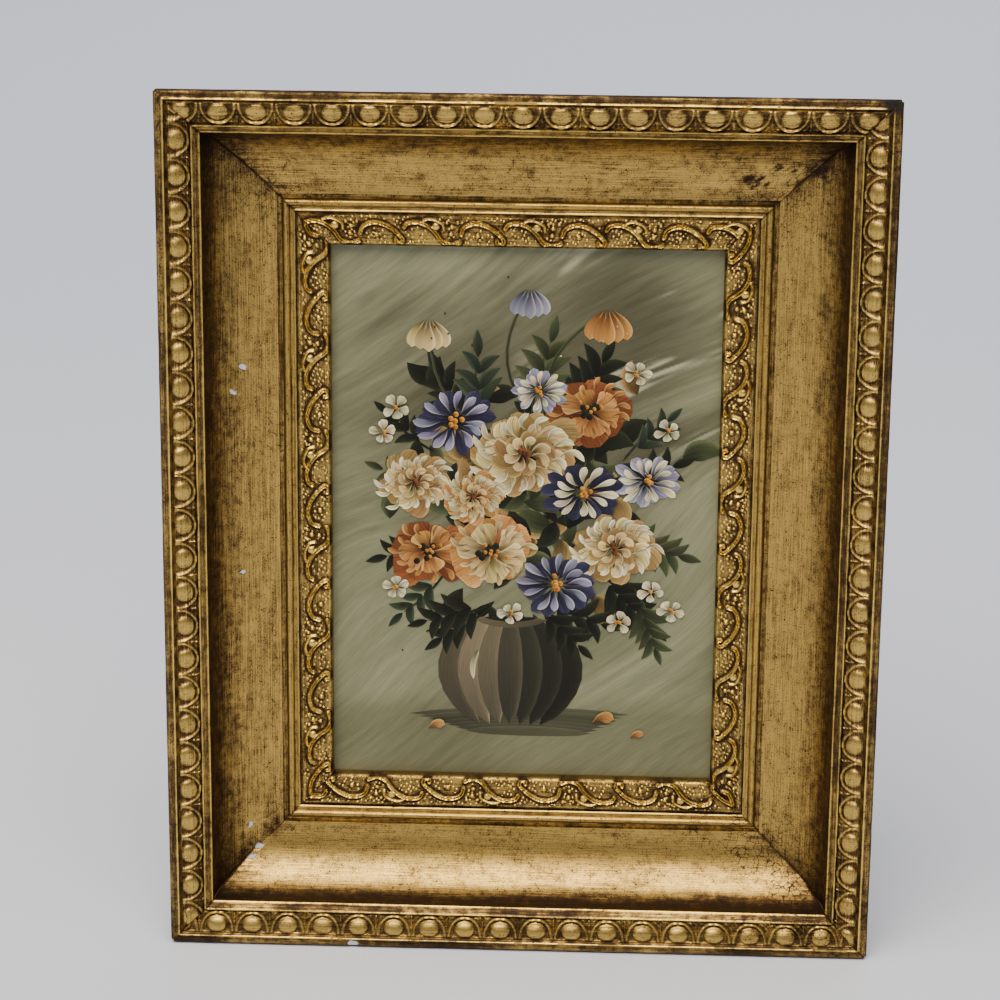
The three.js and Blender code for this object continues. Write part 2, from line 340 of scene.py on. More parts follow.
def mixed(tree: bpy.types.NodeTree, factor: object, first: object, second: object) -> bpy.types.NodeSocket:
    """The output of a colour mix of two colours or sockets by a factor."""
    return add(tree, "Mix", {0: factor, 6: first, 7: second}, data_type="RGBA").outputs[2]


def ranged(tree: bpy.types.NodeTree, value: bpy.types.NodeSocket, ramp: Ramp) -> bpy.types.NodeSocket:
    """The output of a Map Range node that follows the ramp, clamped."""
    links = dict(zip(("Value", "From Min", "From Max", "To Min", "To Max"), (value, *ramp)))
    return add(tree, "MapRange", links).outputs["Result"]


def combined(
    tree: bpy.types.NodeTree, first: object, second: object, operation: str = "ADD", clamped: bool = True
) -> bpy.types.NodeSocket:
    """The output of a Math node on two values or sockets, clamped to 0..1 unless told otherwise."""
    return add(tree, "Math", {0: first, 1: second}, operation=operation, use_clamp=clamped).outputs[0]


def noise_texture(
    tree: bpy.types.NodeTree, place: bpy.types.NodeSocket, size: float | tuple, detail: float, **inputs: float
) -> bpy.types.NodeSocket:
    """The output of a Noise Texture.

    Args:
        tree: the material's node tree.
        place: the coordinates that it reads, in metres.
        size: size of a cell in millimetres, or three sizes for a grain that is drawn out one way.
        detail: number of finer layers.
        inputs: its other input sockets by name.

    Returns:
        The socket of its value.
    """
    if isinstance(size, tuple):
        scale = tuple(1 / (one * MM) for one in size)
        place, size = add(tree, "Mapping", {"Vector": place, "Scale": scale}).outputs["Vector"], 1 / MM
    links = {"Vector": place, "Scale": 1 / (size * MM), "Detail": detail, **inputs}
    return add(tree, "TexNoise", links).outputs[0]


def bumped(
    tree: bpy.types.NodeTree, height: bpy.types.NodeSocket, strength: float, depth: float
) -> bpy.types.NodeSocket:
    """The normal output of a Bump node whose heights 0..1 stand for depth millimetres."""
    links = {"Height": height, "Strength": strength, "Distance": depth * MM}
    return add(tree, "Bump", links).outputs["Normal"]


# Finishes


@dataclass(frozen=True)
class AgedGilding:
    """Leaf gilding over red bole on gesso, rubbed and toned brown with age.

    It gives the eye a soft metal sheen with fine lines along the rail where the ground was drawn, dark dirt
    in the hollows mixed with painted shade from the rails' tones, and a rubbed, warmer gold on the edges that
    also carries a painted highlight. Pattern sizes are in millimetres. A ramp named X_by_Y says how much of X
    each value of Y brings.
    """

    leaf: str = "#c59f54"
    pale_leaf: str = "#f0ce6a"
    olive_leaf: str = "#978246"
    warm_toning: str = "#6e5631"
    # The dark brown stands both for dirt and for painted shade.
    toning_and_shade: str = "#28180a"
    bole: str = "#7a3a18"
    gesso: str = "#b9bec8"
    stain: str = "#120d07"
    streak: tuple = (16.0, 0.24, 1000.0)
    mottle: float = 2.4
    grain: float = 0.4
    speck_spacing: float = 1.5
    crack_spacing: float = 2.4
    crack_wobble: float = 1.5
    crack_bend: float = 1.2
    relief_depth: float = 0.05
    relief_strength: float = 0.5
    leaf_by_streak: Ramp = (0.35, 0.68, 0.0, 1.0)
    pale_by_mottle: Ramp = (0.55, 0.8, 0.0, 0.4)
    # Paler gold on worn, raised edges: rubbed leaf together with a painted highlight.
    pale_highlight_by_wear: Ramp = (0.1, 0.9, 0.0, 0.8)
    speck_by_distance: Ramp = (0.08, 0.2, 1.0, 0.0)
    speck_by_mottle: Ramp = (0.5, 0.62, 0.0, 0.9)
    brown_by_mottle: Ramp = (0.32, 0.7, -0.18, 0.2)
    brown_by_streak: Ramp = (0.32, 0.66, 0.26, -0.24)
    brown_by_grain: Ramp = (0.55, 0.66, 0.0, 0.5)
    crack_by_distance: Ramp = (0.01, 0.045, 0.8, 0.0)
    clean_by_wear: Ramp = (0.0, 1.0, 0.0, 0.5)
    warm_by_brown: Ramp = (0.1, 0.6, 0.0, 1.0)
    dark_by_brown: Ramp = (0.4, 0.95, 0.0, 1.0)
    bole_by_wear: Ramp = (0.6, 1.0, 0.0, 1.0)
    bole_by_grain: Ramp = (0.52, 0.62, 0.0, 0.15)
    raggedness_by_grain: Ramp = (0.3, 0.7, -0.25, 0.25)
    gesso_by_chip: Ramp = (0.4, 0.5, 0.0, 1.0)
    dull_by_brown: Ramp = (0.3, 1.0, 0.0, 0.25)
    roughness_by_brown: Ramp = (0.0, 1.0, 0.31, 0.6)
    height_by_streak: Ramp = (0.2, 0.8, 0.0, 0.75)
    height_by_grain: Ramp = (0.2, 0.8, 0.0, 0.25)

    def cracks(self, tree: bpy.types.NodeTree, solid: bpy.types.NodeSocket) -> bpy.types.NodeSocket:
        """The net of fine cracks: the edges of cells, bent by noise, as far as "crackle" asks for them.

        Args:
            tree: the material's node tree.
            solid: the Object coordinates.

        Returns:
            The socket of the cracks' strength.
        """
        links = {"Vector": solid, "Scale": 1 / (self.crack_wobble * MM), "Detail": 2.0}
        wobble = add(tree, "TexNoise", links)
        bend = {0: wobble.outputs["Color"], 1: (self.crack_bend * MM,) * 3}
        bent = add(tree, "VectorMath", bend, operation="MULTIPLY").outputs[0]
        bent = add(tree, "VectorMath", {0: bent, 1: solid}, operation="ADD").outputs[0]
        links = {"Vector": bent, "Scale": 1 / (self.crack_spacing * MM)}
        net = add(tree, "TexVoronoi", links, feature="DISTANCE_TO_EDGE").outputs["Distance"]
        amount = add(tree, "Attribute", attribute_name="crackle").outputs["Fac"]
        return combined(tree, ranged(tree, net, self.crack_by_distance), amount, "MULTIPLY")

    def build(self) -> bpy.types.Material:
        """Makes the material. It reads the rails' attributes "moulding" (metres), "tone" and "crackle".

        Returns:
            The material.
        """
        material, tree, shader = new_material("aged_leaf_gilding")
        place = add(tree, "Attribute", attribute_name="moulding").outputs["Vector"]
        tone = add(tree, "Attribute", attribute_name="tone")
        # The tone's channels: toning with painted shade, wear with painted highlight, and chips; its alpha is
        # the black stain.
        split = add(tree, "SeparateColor", {"Color": tone.outputs["Color"]})
        toning_and_shade, wear_and_highlight, chip = (split.outputs[k] for k in range(3))
        stain = tone.outputs["Alpha"]
        solid = add(tree, "TexCoord").outputs["Object"]

        streak = noise_texture(tree, place, self.streak, 4.0, Roughness=0.65)
        mottle = noise_texture(tree, solid, self.mottle, 5.0, Roughness=0.6)
        grain = noise_texture(tree, solid, self.grain, 2.0, Roughness=0.6)
        cells = add(tree, "TexVoronoi", {"Vector": solid, "Scale": 1 / (self.speck_spacing * MM)})
        speck = ranged(tree, cells.outputs["Distance"], self.speck_by_distance)
        speck = combined(tree, speck, ranged(tree, mottle, self.speck_by_mottle), "MULTIPLY")

        bright = ranged(tree, streak, self.leaf_by_streak)
        colour = mixed(tree, bright, linear(self.olive_leaf), linear(self.leaf))
        colour = mixed(tree, ranged(tree, mottle, self.pale_by_mottle), colour, linear(self.pale_leaf))
        # Painted highlight: raised edges turn paler gold, along with the real rubbing.
        colour = mixed(tree, ranged(tree, wear_and_highlight, self.pale_highlight_by_wear), colour, linear(self.pale_leaf))

        # Browner where the toning channel holds dirt and painted shade, and where the noise patterns ask for
        # it.
        brown = combined(tree, ranged(tree, mottle, self.brown_by_mottle), toning_and_shade, clamped=False)
        brown = combined(tree, brown, ranged(tree, streak, self.brown_by_streak))
        brown = combined(tree, brown, ranged(tree, grain, self.brown_by_grain))
        for dirt in (speck, self.cracks(tree, solid)):
            brown = combined(tree, brown, dirt)
        brown = combined(tree, brown, ranged(tree, wear_and_highlight, self.clean_by_wear), "SUBTRACT")
        rubbed = ranged(tree, wear_and_highlight, self.bole_by_wear)
        rubbed = combined(tree, rubbed, ranged(tree, grain, self.bole_by_grain), "MULTIPLY")
        chip = combined(tree, chip, ranged(tree, grain, self.raggedness_by_grain), clamped=False)
        chip = ranged(tree, chip, self.gesso_by_chip)
        coats = (
            (ranged(tree, brown, self.warm_by_brown), self.warm_toning),
            (ranged(tree, brown, self.dark_by_brown), self.toning_and_shade),
            (rubbed, self.bole),
            (chip, self.gesso),
            (stain, self.stain),
        )
        for amount, coat in coats:
            colour = mixed(tree, amount, colour, linear(coat))

        dull = combined(tree, chip, stain)
        dull = combined(tree, dull, ranged(tree, brown, self.dull_by_brown))
        height = combined(
            tree, ranged(tree, streak, self.height_by_streak), ranged(tree, grain, self.height_by_grain)
        )
        feed(tree, shader, {
            "Base Color": colour,
            "Metallic": combined(tree, 1.0, dull, "SUBTRACT"),
            "Roughness": combined(tree, ranged(tree, brown, self.roughness_by_brown), stain),
            "Normal": bumped(tree, height, self.relief_strength, self.relief_depth),
        })
        return material


@dataclass(frozen=True)
class BareWood:
    """Sawn softwood, never finished: pale brown, with darker grain along each rail and a dry surface."""

    pale: str = "#b08a58"
    dark: str = "#7d5a34"
    grain: tuple = (60.0, 1.6, 1000.0)
    fibre: tuple = (4.0, 0.15, 1000.0)
    dark_by_grain: Ramp = (0.35, 0.65, 0.0, 1.0)
    dark_by_fibre: Ramp = (0.5, 0.8, 0.0, 0.35)
    roughness: float = 0.75

    def build(self) -> bpy.types.Material:
        """Makes the material, with its grain along the attribute "moulding".

        Returns:
            The material.
        """
        material, tree, shader = new_material("bare_softwood")
        place = add(tree, "Attribute", attribute_name="moulding").outputs["Vector"]
        grain = noise_texture(tree, place, self.grain, 6.0, Distortion=0.4)
        fibre = noise_texture(tree, place, self.fibre, 2.0)
        colour = mixed(tree, ranged(tree, grain, self.dark_by_grain), linear(self.pale), linear(self.dark))
        feed(tree, shader, {
            "Base Color": mixed(tree, ranged(tree, fibre, self.dark_by_fibre), colour, linear(self.dark)),
            "Roughness": self.roughness,
            "Normal": bumped(tree, fibre, 0.5, 0.1),
        })
        return material


@dataclass(frozen=True)
class OilPaint:
    """Oil colour brushed on a primed board: a satin skin with fine ridges left by the bristles."""

    bristles: tuple = (9.0, 0.45, 1000.0)
    spread_by_streak: Ramp = (0.25, 0.75, -1.0, 1.0)
    roughness: float = 0.46
    sheen: float = 0.15

    def build(self) -> bpy.types.Material:
        """Makes the material. It reads "paint" (colour), "stroke" (metres along and across) and "bristle".

        Returns:
            The material.
        """
        material, tree, shader = new_material("brushed_oil_paint")
        paint = add(tree, "Attribute", attribute_name="paint").outputs["Color"]
        place = add(tree, "Attribute", attribute_name="stroke").outputs["Vector"]
        amount = add(tree, "Attribute", attribute_name="bristle").outputs["Fac"]
        streak = noise_texture(tree, place, self.bristles, 3.0, Roughness=0.6)
        gain = combined(tree, ranged(tree, streak, self.spread_by_streak), amount, "MULTIPLY", clamped=False)
        gain = combined(tree, gain, 1.0, clamped=False)
        lit = add(tree, "VectorMath", {0: paint, "Scale": gain}, operation="SCALE")
        feed(tree, shader, {
            "Base Color": lit.outputs["Vector"],
            "Roughness": self.roughness,
            "Specular IOR Level": self.sheen,
            "Normal": bumped(tree, streak, 0.45, 0.05),
        })
        return material


@dataclass(frozen=True)
class Hardboard:
    """Pressed wood fibre: even brown with fine flecks, dull."""

    ground: str = "#7a5a3a"
    fleck: str = "#4d3722"
    fibre: float = 0.5
    cloud: float = 22.0
    fleck_by_fibre: Ramp = (0.45, 0.7, 0.0, 0.8)
    fleck_by_cloud: Ramp = (0.4, 0.7, 0.0, 0.3)
    roughness: float = 0.7

    def build(self) -> bpy.types.Material:
        """Makes the material.

        Returns:
            The material.
        """
        material, tree, shader = new_material("pressed_hardboard")
        solid = add(tree, "TexCoord").outputs["Object"]
        fibre = noise_texture(tree, solid, self.fibre, 4.0)
        cloud = noise_texture(tree, solid, self.cloud, 3.0)
        flecks = ranged(tree, fibre, self.fleck_by_fibre)
        colour = mixed(tree, flecks, linear(self.ground), linear(self.fleck))
        feed(tree, shader, {
            "Base Color": mixed(tree, ranged(tree, cloud, self.fleck_by_cloud), colour, linear(self.fleck)),
            "Roughness": self.roughness,
            "Normal": bumped(tree, fibre, 0.4, 0.1),
        })
        return material


@dataclass(frozen=True)
class RolledMetal:
    """Thin sheet metal, rolled bright and dulled by handling, with fine rolling lines and cloudy tarnish."""

    name: str
    colour: str
    tarnish: str
    roughness: float
    rolling: tuple = (6.0, 0.2, 0.2)
    cloud: float = 3.0
    tarnish_by_cloud: Ramp = (0.4, 0.7, 0.0, 0.8)
    tarnish_roughness: float = 0.2

    def build(self) -> bpy.types.Material:
        """Makes the material.

        Returns:
            The material.
        """
        material, tree, shader = new_material(self.name)
        solid = add(tree, "TexCoord").outputs["Object"]
        rolling = noise_texture(tree, solid, self.rolling, 2.0)
        cloud = noise_texture(tree, solid, self.cloud, 4.0)
        dull = ranged(tree, cloud, self.tarnish_by_cloud)
        roughness = (0.3, 0.7, self.roughness, self.roughness + self.tarnish_roughness)
        feed(tree, shader, {
            "Base Color": mixed(tree, dull, linear(self.colour), linear(self.tarnish)),
            "Metallic": 1.0,
            "Roughness": ranged(tree, cloud, roughness),
            "Normal": bumped(tree, rolling, 0.3, 0.02),
        })
        return material


# The gilded rails


class Zone(Enum):
    """The parts of the moulding's outline, in order round it."""

    SIDE = 0
    STRIP = 1
    EGGS = 2
    FILLET = 3
    COVE = 4
    INNER = 5
    SCROLL = 6
    LIP = 7
    RABBET = 8
    BACK = 9


class Side(Enum):
    """The four rails, with the direction from the rail's outer edge inwards as (x, z)."""

    BOTTOM = (0, 1)
    RIGHT = (-1, 0)
    TOP = (0, -1)
    LEFT = (1, 0)

    @property
    def along(self) -> tuple[int, int]:
        """The rail's own direction as (x, z): the inward one turned a quarter."""
        return (self.value[1], -self.value[0])


@dataclass(frozen=True)
class Moulding:
    """Widths across the moulding and falls from level to level, in millimetres."""

    strip: float = 3.3
    egg_band: float = 7.5
    fillet: float = 2.6
    cove: float = 20.1
    cove_lip: float = 0.6
    groove: float = 1.4
    bead: float = 2.6
    line: float = 1.4
    scroll_groove: float = 1.0
    scroll_band: float = 9.5
    egg_fall: float = 1.8
    fillet_fall: float = 2.2
    fillet_shoulder_fall: float = 0.73
    cove_depth: float = 16.2
    scroll_fall: float = 1.4
    lip: float = 4.0
    rabbet: float = 8.4
    rabbet_width: float = 4.5
    side_lean: float = 6.0
    arris: float = 1.2
    quirk: float = 0.8
    groove_depth: float = 1.1
    bead_rise: float = 0.6
    sight_arris: float = 0.6

    @property
    def width(self) -> float:
        """From the outer edge to the sight edge."""
        outer = self.strip + self.egg_band + self.fillet + self.cove + self.cove_lip
        return outer + self.groove + self.bead + self.line + self.scroll_groove + self.scroll_band

    @property
    def scroll_level(self) -> float:
        """Height of the bead and scroll levels above the back."""
        return self.rabbet + self.lip + self.scroll_fall

    @property
    def depth(self) -> float:
        """From the back to the rim."""
        return self.scroll_level + self.cove_depth + self.fillet_fall + self.egg_fall

    def outline(self) -> tuple[np.ndarray, np.ndarray]:
        """The closed outline: x from the outer edge inwards, y from the back to the front.

        It is a chain of straight lines and elliptic arcs, from the back outer corner up the side, over the
        front and back through the rabbet.

        Returns:
            The points in millimetres, and each point's zone number.
        """
        top, fillet_top = self.depth, self.depth - self.egg_fall
        eggs = self.strip
        fillet = eggs + self.egg_band
        cove = fillet + self.fillet
        cove_end = cove + self.cove
        bead = cove_end + self.cove_lip + self.groove
        bead_end = bead + self.bead
        scroll = bead_end + self.line + self.scroll_groove
        level, sight, wall = self.scroll_level, self.width, self.width - self.rabbet_width
        dip, half = self.groove_depth, self.quirk / 2
        low = level - self.scroll_fall
        shoulder = (fillet + self.fillet / 2, fillet_top - self.fillet_shoulder_fall)
        bead_middle = (bead + self.bead / 2, level - dip)
        quirk = (fillet - half, fillet_top - self.quirk)
        runs = [
            (Zone.SIDE, line((self.side_lean, 0), (0, top - self.arris), 4)),
            (Zone.STRIP, arc((self.arris, top - self.arris), (self.arris, self.arris), 180, 90, 5)),
            (Zone.STRIP, line((self.arris, top), (eggs, top), 5)),
            (Zone.STRIP, line((eggs, top), (eggs + half, top - self.quirk), 1)),
            (Zone.EGGS, line((eggs + half, top - self.quirk), (eggs + 2 * half, top - half), 1)),
            (Zone.EGGS, line((eggs + 2 * half, top - half), (fillet - 2 * half, fillet_top - half), 23)),
            (Zone.EGGS, line((fillet - 2 * half, fillet_top - half), quirk, 1)),
            (Zone.FILLET, line(quirk, (fillet, fillet_top), 2)),
            (Zone.FILLET, line((fillet, fillet_top), shoulder, 5)),
            (Zone.FILLET, line(shoulder, (cove, fillet_top - self.fillet_fall), 6)),
            (Zone.COVE, arc((cove_end, level + self.cove_depth), (self.cove, self.cove_depth), 180, 270, 28)),
            (Zone.INNER, line((cove_end, level), (cove_end + self.cove_lip, level), 2)),
            (Zone.INNER, line((cove_end + self.cove_lip, level), (cove_end + self.cove_lip, level - dip), 2)),
            (Zone.INNER, line((cove_end + self.cove_lip, level - dip), (bead, level - dip), 1)),
            (Zone.INNER, arc(bead_middle, (self.bead / 2, dip + self.bead_rise), 180, 0, 9)),
            (Zone.INNER, line((bead_end, level - dip), (bead_end, level - dip / 2), 1)),
            (Zone.INNER, line((bead_end, level - dip / 2), (bead_end + self.line, level - dip / 2), 5)),
            (Zone.INNER, line((bead_end + self.line, level - dip / 2), (bead_end + self.line, low), 2)),
            (Zone.INNER, line((bead_end + self.line, low), (scroll, low), 1)),
            (Zone.SCROLL, line((scroll, low), (scroll, level - self.sight_arris), 1)),
            (Zone.SCROLL, line((scroll, level - self.sight_arris), (sight - self.sight_arris, low), 34)),
            (Zone.LIP, line((sight - self.sight_arris, low), (sight, low - self.sight_arris), 1)),
            (Zone.LIP, line((sight, low - self.sight_arris), (sight, self.rabbet), 3)),
            (Zone.RABBET, line((sight, self.rabbet), (wall, self.rabbet), 1)),
            (Zone.RABBET, line((wall, self.rabbet), (wall, 0), 2)),
            (Zone.BACK, line((wall, 0), (self.side_lean, 0), 3)),
        ]
        points = np.vstack([run for _, run in runs])
        zones = np.concatenate([np.full(len(run), zone.value) for zone, run in runs])
        return points, zones


@dataclass(frozen=True)
class EggAndDart:
    """The cast band of eggs in arches with darts between, in millimetres."""

    radius: float = 3.3
    reach: float = 2.85
    rise: float = 1.3
    sink: float = 0.35
    across: float = 2.6
    arch_half: float = 5.0
    arch_foot: float = 0.2
    arch_reach: float = 5.9
    squareness: float = 2.15
    ridge: float = 0.36
    ridge_rise: float = 0.95
    shell_rise: float = 0.25
    ground_drop: float = 0.3
    dart_rise: float = 0.8
    dart_half: float = 0.34
    rib_rise: float = 0.45
    rib_place: float = 1.24
    knot_rise: float = 0.6
    knot_reach: float = 0.6
    knot_across: float = 1.3
    line_rise: float = 0.315
    line_across: float = 6.0
    unlikeness: float = 0.12

    def relief(self, along: np.ndarray, across: np.ndarray, pitch: float, shift: float) -> np.ndarray:
        """Heights above the band.

        An egg is a flattened dome. Round it stands an arch, a ridge where rho, the superellipse of the
        shares along and across, is 1. Beyond the arches the ground sinks, and a dart rises between two thin
        ribs that follow them.

        Args:
            along: distance along the rail from its middle.
            across: distance across the band from its outer edge.
            pitch: from egg to egg.
            shift: where the egg nearest the rail's middle stands.

        Returns:
            Heights in millimetres.
        """
        place = np.mod(along - shift + pitch / 2, pitch) - pitch / 2
        number = np.round((along - shift) / pitch)
        round_off = np.hypot(place / self.radius, (across - self.across) / self.reach)
        egg = self.rise * np.sqrt(np.clip(1 - round_off**2, 0, 1))
        up = np.clip(across - self.arch_foot, 0, None) / self.arch_reach
        aside = np.abs(place) / self.arch_half
        rho = (aside**self.squareness + up**self.squareness) ** (1 / self.squareness)
        arch = self.ridge_rise * bell((rho - 1) * 3.6, self.ridge)
        shell = self.shell_rise * smooth_step(0.72, 0.84, rho) * smooth_step(1.1, 0.95, rho)
        beyond = smooth_step(1.06, 1.2, rho)
        side = pitch / 2 - np.abs(place)
        dart = self.dart_rise * bell(side, self.dart_half) * smooth_step(0.2, 0.8, across)
        dart = np.maximum(dart, self.rib_rise * bell((rho - self.rib_place) * 4.2, 0.3))
        knot = self.knot_rise * bell(np.hypot(side * 0.8, across - self.knot_across), self.knot_reach)
        line_by_edge = self.line_rise * bell(across - self.line_across, 0.32)
        cast = 1 + self.unlikeness * noise(number, across * 0 + 3, 1.0, 5)
        between = (np.maximum(dart, knot) - self.ground_drop) * beyond
        return egg * cast + np.maximum(arch, shell) + between + line_by_edge


@dataclass(frozen=True)
class RunningScroll:
    """The cast band of running scrolls beside the sight edge, in millimetres.

    Each repeat is a ribbon that runs from the band's outer side down to the sight edge, with a leaf on its
    shoulder, and an arch that ends in a curl. w runs along the repeat and v across the band.
    """

    pitch: float = 30.6
    ribbon: tuple = (
        (-0.3, 3.6), (0.6, 2.4), (3.2, 1.9), (5.8, 2.5), (8.0, 3.9), (9.6, 5.6), (11.0, 7.6), (12.8, 8.6),
        (14.8, 8.7), (16.6, 8.0),
    )
    arch: tuple = ((17.0, 5.6), (17.7, 3.7), (19.4, 2.6), (21.8, 2.2), (24.4, 2.8), (27.0, 4.3), (29.2, 6.3))
    curl: tuple = ((29.2, 6.3), (29.9, 7.4), (29.3, 8.6), (28.1, 8.5), (27.9, 7.5))
    leaf: tuple = ((5.6, 1.5), (7.4, 1.0), (9.6, 1.5), (11.4, 2.6), (11.7, 4.2))
    pearls: tuple = (
        (14.2, 3.3, 0.75), (16.0, 1.9, 0.6), (13.9, 5.6, 0.7), (12.7, 2.0, 0.5), (22.0, 6.0, 0.8),
    )
    leaf_blob: tuple = (9.3, 3.2, 1.3)
    leaf_rise: float = 0.85
    ribbon_half: float = 0.9
    ribbon_rise: float = 1.0
    channel_half: float = 0.26
    channel_depth: float = 0.7
    moat_depth: float = 0.25
    bead_pitch: float = 1.25
    bead_turn: float = 0.47
    bead_radius: float = 0.36
    bead_rise: float = 0.42
    bead_gaps: float = 0.35

    def distances(self, w: np.ndarray, v: np.ndarray, points: tuple) -> np.ndarray:
        """The distance from each place to a curve and to its copies one repeat before and after.

        Args:
            w: places along the repeat.
            v: places across the band.
            points: the curve's points.

        Returns:
            The least distance, in millimetres.
        """
        path = smooth_path(list(points), 7).astype(np.float32)
        least = np.full(w.shape, 99.0, np.float32)
        for copy in (-self.pitch, 0, self.pitch):
            shifted = w.astype(np.float32)[..., None] - (path[:, 0] + copy)
            least = np.minimum(least, np.hypot(shifted, v.astype(np.float32)[..., None] - path[:, 1]).min(-1))
        return least

    def relief(self, along: np.ndarray, across: np.ndarray, shift: float) -> np.ndarray:
        """Heights above the band: double-lined ribbons, a leaf, pearls and a beaded ground.

        A ribbon is 0.4 to 1 of its half width wide, flat-topped, with a thin channel along its middle.

        Args:
            along: distance along the rail from its middle.
            across: distance across the band from its outer edge.
            shift: where a repeat starts.

        Returns:
            Heights in millimetres.
        """
        w = np.mod(shift - along, self.pitch)
        height = np.zeros(w.shape)
        nearest = np.full(w.shape, 9.0)
        for points in (self.ribbon, self.arch, self.curl):
            off = self.distances(w, across, points)
            nearest = np.minimum(nearest, off)
            ribbon = self.ribbon_rise * smooth_step(self.ribbon_half, 0.4 * self.ribbon_half, off)
            ribbon -= self.channel_depth * bell(off, self.channel_half)
            ribbon -= self.moat_depth * bell(off - 1.5 * self.ribbon_half, 0.4 * self.ribbon_half)
            lowered = height + np.minimum(ribbon, 0)
            height = np.where(off < 1.1 * self.ribbon_half, np.maximum(height, ribbon), lowered)
        height = np.maximum(height, self.leaf_rise * bell(self.distances(w, across, self.leaf), 0.45))
        for wide, high, size in (*self.pearls, self.leaf_blob):
            off = np.minimum(np.abs(w - wide), self.pitch - np.abs(w - wide))
            dome = np.sqrt(np.clip(1 - (np.hypot(off, across - high) / size) ** 2, 0, 1))
            height = np.maximum(height, self.leaf_rise * dome)
        clear = smooth_step(0.15, 0.02, height) * smooth_step(1.45, 1.75, nearest / self.ribbon_half)
        edge = smooth_step(0.0, 0.5, across) * smooth_step(9.4, 9.0, across)
        height = height + self.beading(along, across) * clear
        return height * edge + 0.35 * bell(across - 9.1, 0.35)

    def beading(self, along: np.ndarray, across: np.ndarray) -> np.ndarray:
        """Small round beads that fill the ground.

        They lie on a turned lattice, each a little off the middle of its square, and some squares stay empty.
        A bead is sqrt(1 - d^2) high, with d its distance from the bead's middle in radii.

        Args:
            along: distance along the rail from its middle.
            across: distance across the band from its outer edge.

        Returns:
            Heights in millimetres.
        """
        cosine, sine = math.cos(self.bead_turn) / self.bead_pitch, math.sin(self.bead_turn) / self.bead_pitch
        x, y = along * cosine - across * sine, along * sine + across * cosine
        column, row = np.floor(x), np.floor(y)
        side, margin = 64, 0.28
        table = np.random.default_rng(17).uniform(0, 1, (3, side, side))
        own = table[:, column.astype(int) % side, row.astype(int) % side]
        play = 1 - 2 * margin
        off_x, off_y = x - column - margin - play * own[0], y - row - margin - play * own[1]
        away = np.hypot(off_x, off_y) * self.bead_pitch
        bead = np.sqrt(np.clip(1 - (away / self.bead_radius) ** 2, 0, 1))
        return self.bead_rise * bead * (own[2] > self.bead_gaps)


@dataclass(frozen=True)
class Blemish:
    """One chip or mark: its place from the frame's middle and its reach (millimetres), and its strengths."""

    x: float
    z: float
    reach: float
    chip: float = 0.0
    soil: float = 0.0
    black: float = 0.0
    depth: float = 0.0
    stretch: float = 1.0

    def strength(self, x: np.ndarray, z: np.ndarray) -> np.ndarray:
        """How much of the blemish lies at each place: 1 inside a ragged oval, 0 outside."""
        off = np.hypot((x - self.x) / self.stretch, z - self.z)
        ragged = off + 0.45 * self.reach * noise(x, z, 0.8 * self.reach, 21)
        return smooth_step(self.reach, 0.5 * self.reach, ragged)


BLEMISHES = (
    Blemish(-89.2, 40.3, 1.0, chip=1.0, depth=0.25),
    Blemish(-86.3, 47.7, 1.3, chip=1.0, depth=0.2),
    Blemish(-87.5, -17.4, 0.9, chip=0.8, depth=0.2),
    Blemish(-86.2, -102.2, 1.1, chip=1.0, depth=0.3),
    Blemish(-83.4, -109.6, 1.1, chip=1.0, depth=0.3, stretch=1.3),
    Blemish(-85.6, -112.9, 0.9, chip=1.0, depth=0.3, stretch=1.3),
    Blemish(-52.1, -134.6, 1.2, chip=0.9, depth=0.3, stretch=2.0),
    Blemish(106.8, 134.6, 2.8, black=1.0, stretch=2.0),
    Blemish(69.0, 107.4, 2.6, soil=0.9, stretch=1.8),
    Blemish(77.0, 110.6, 3.6, soil=0.8, stretch=2.0),
    Blemish(86.0, 111.0, 4.5, soil=0.7, stretch=1.3),
)


@dataclass(frozen=True)
class Patina:
    """How toning, wear and cracks lie on the moulding, alike on all rails, with painted shade in the grooves,
    the quirks, round the eggs and by the mitres, and a painted highlight on raised edges, the lip and the
    bead.
    Lengths are in millimetres.
    """

    fine_reach: int = 2
    fine_depth: float = 0.22
    wide_reach: int = 7
    wide_depth: float = 0.5
    everywhere: float = 0.16
    in_hollows: float = 0.6
    on_side: float = 0.26
    on_strip: float = 0.13
    # Wear on raised places, which also paints a highlight there.
    fine_wear_and_highlight: float = 1.2
    wide_wear_and_highlight: float = 0.6
    egg_wear_and_highlight: float = 0.3
    # Painted shade on the eggs' lower slopes, where the band stands between these heights.
    egg_rim_shade: Step = (0.16, 1.15, 0.6)
    egg_shade_foot: Step = (1.0, 0.1, 0.3)
    egg_ground: float = 0.04
    egg_most: float = 0.66
    cove_raggedness: float = 0.04
    # Painted shade in the inner grooves, deeper down.
    groove_shade_steps: tuple = ((0.3, 0.65, 1.0), (0.4, 1.15, 1.35))
    # Painted highlight on the lip's flat top and the bead's crown.
    lip_and_bead_highlight: Step = (0.12, 0.3, 0.0)
    # Painted shade on the steep walls of the quirks.
    quirk_shade_step: Step = (0.12, 0.15, 0.4)
    mitre_crack_half: float = 0.4
    mitre_crack_depth: float = 0.12
    mitre_crack_toning: float = 0.55
    mitre_shade: float = 0.3
    mitre_shade_half: float = 5.0
    crackle_step: Step = (0.9, 26, 6)
    crackle_patches: Step = (0.22, 0.35, 0.7)


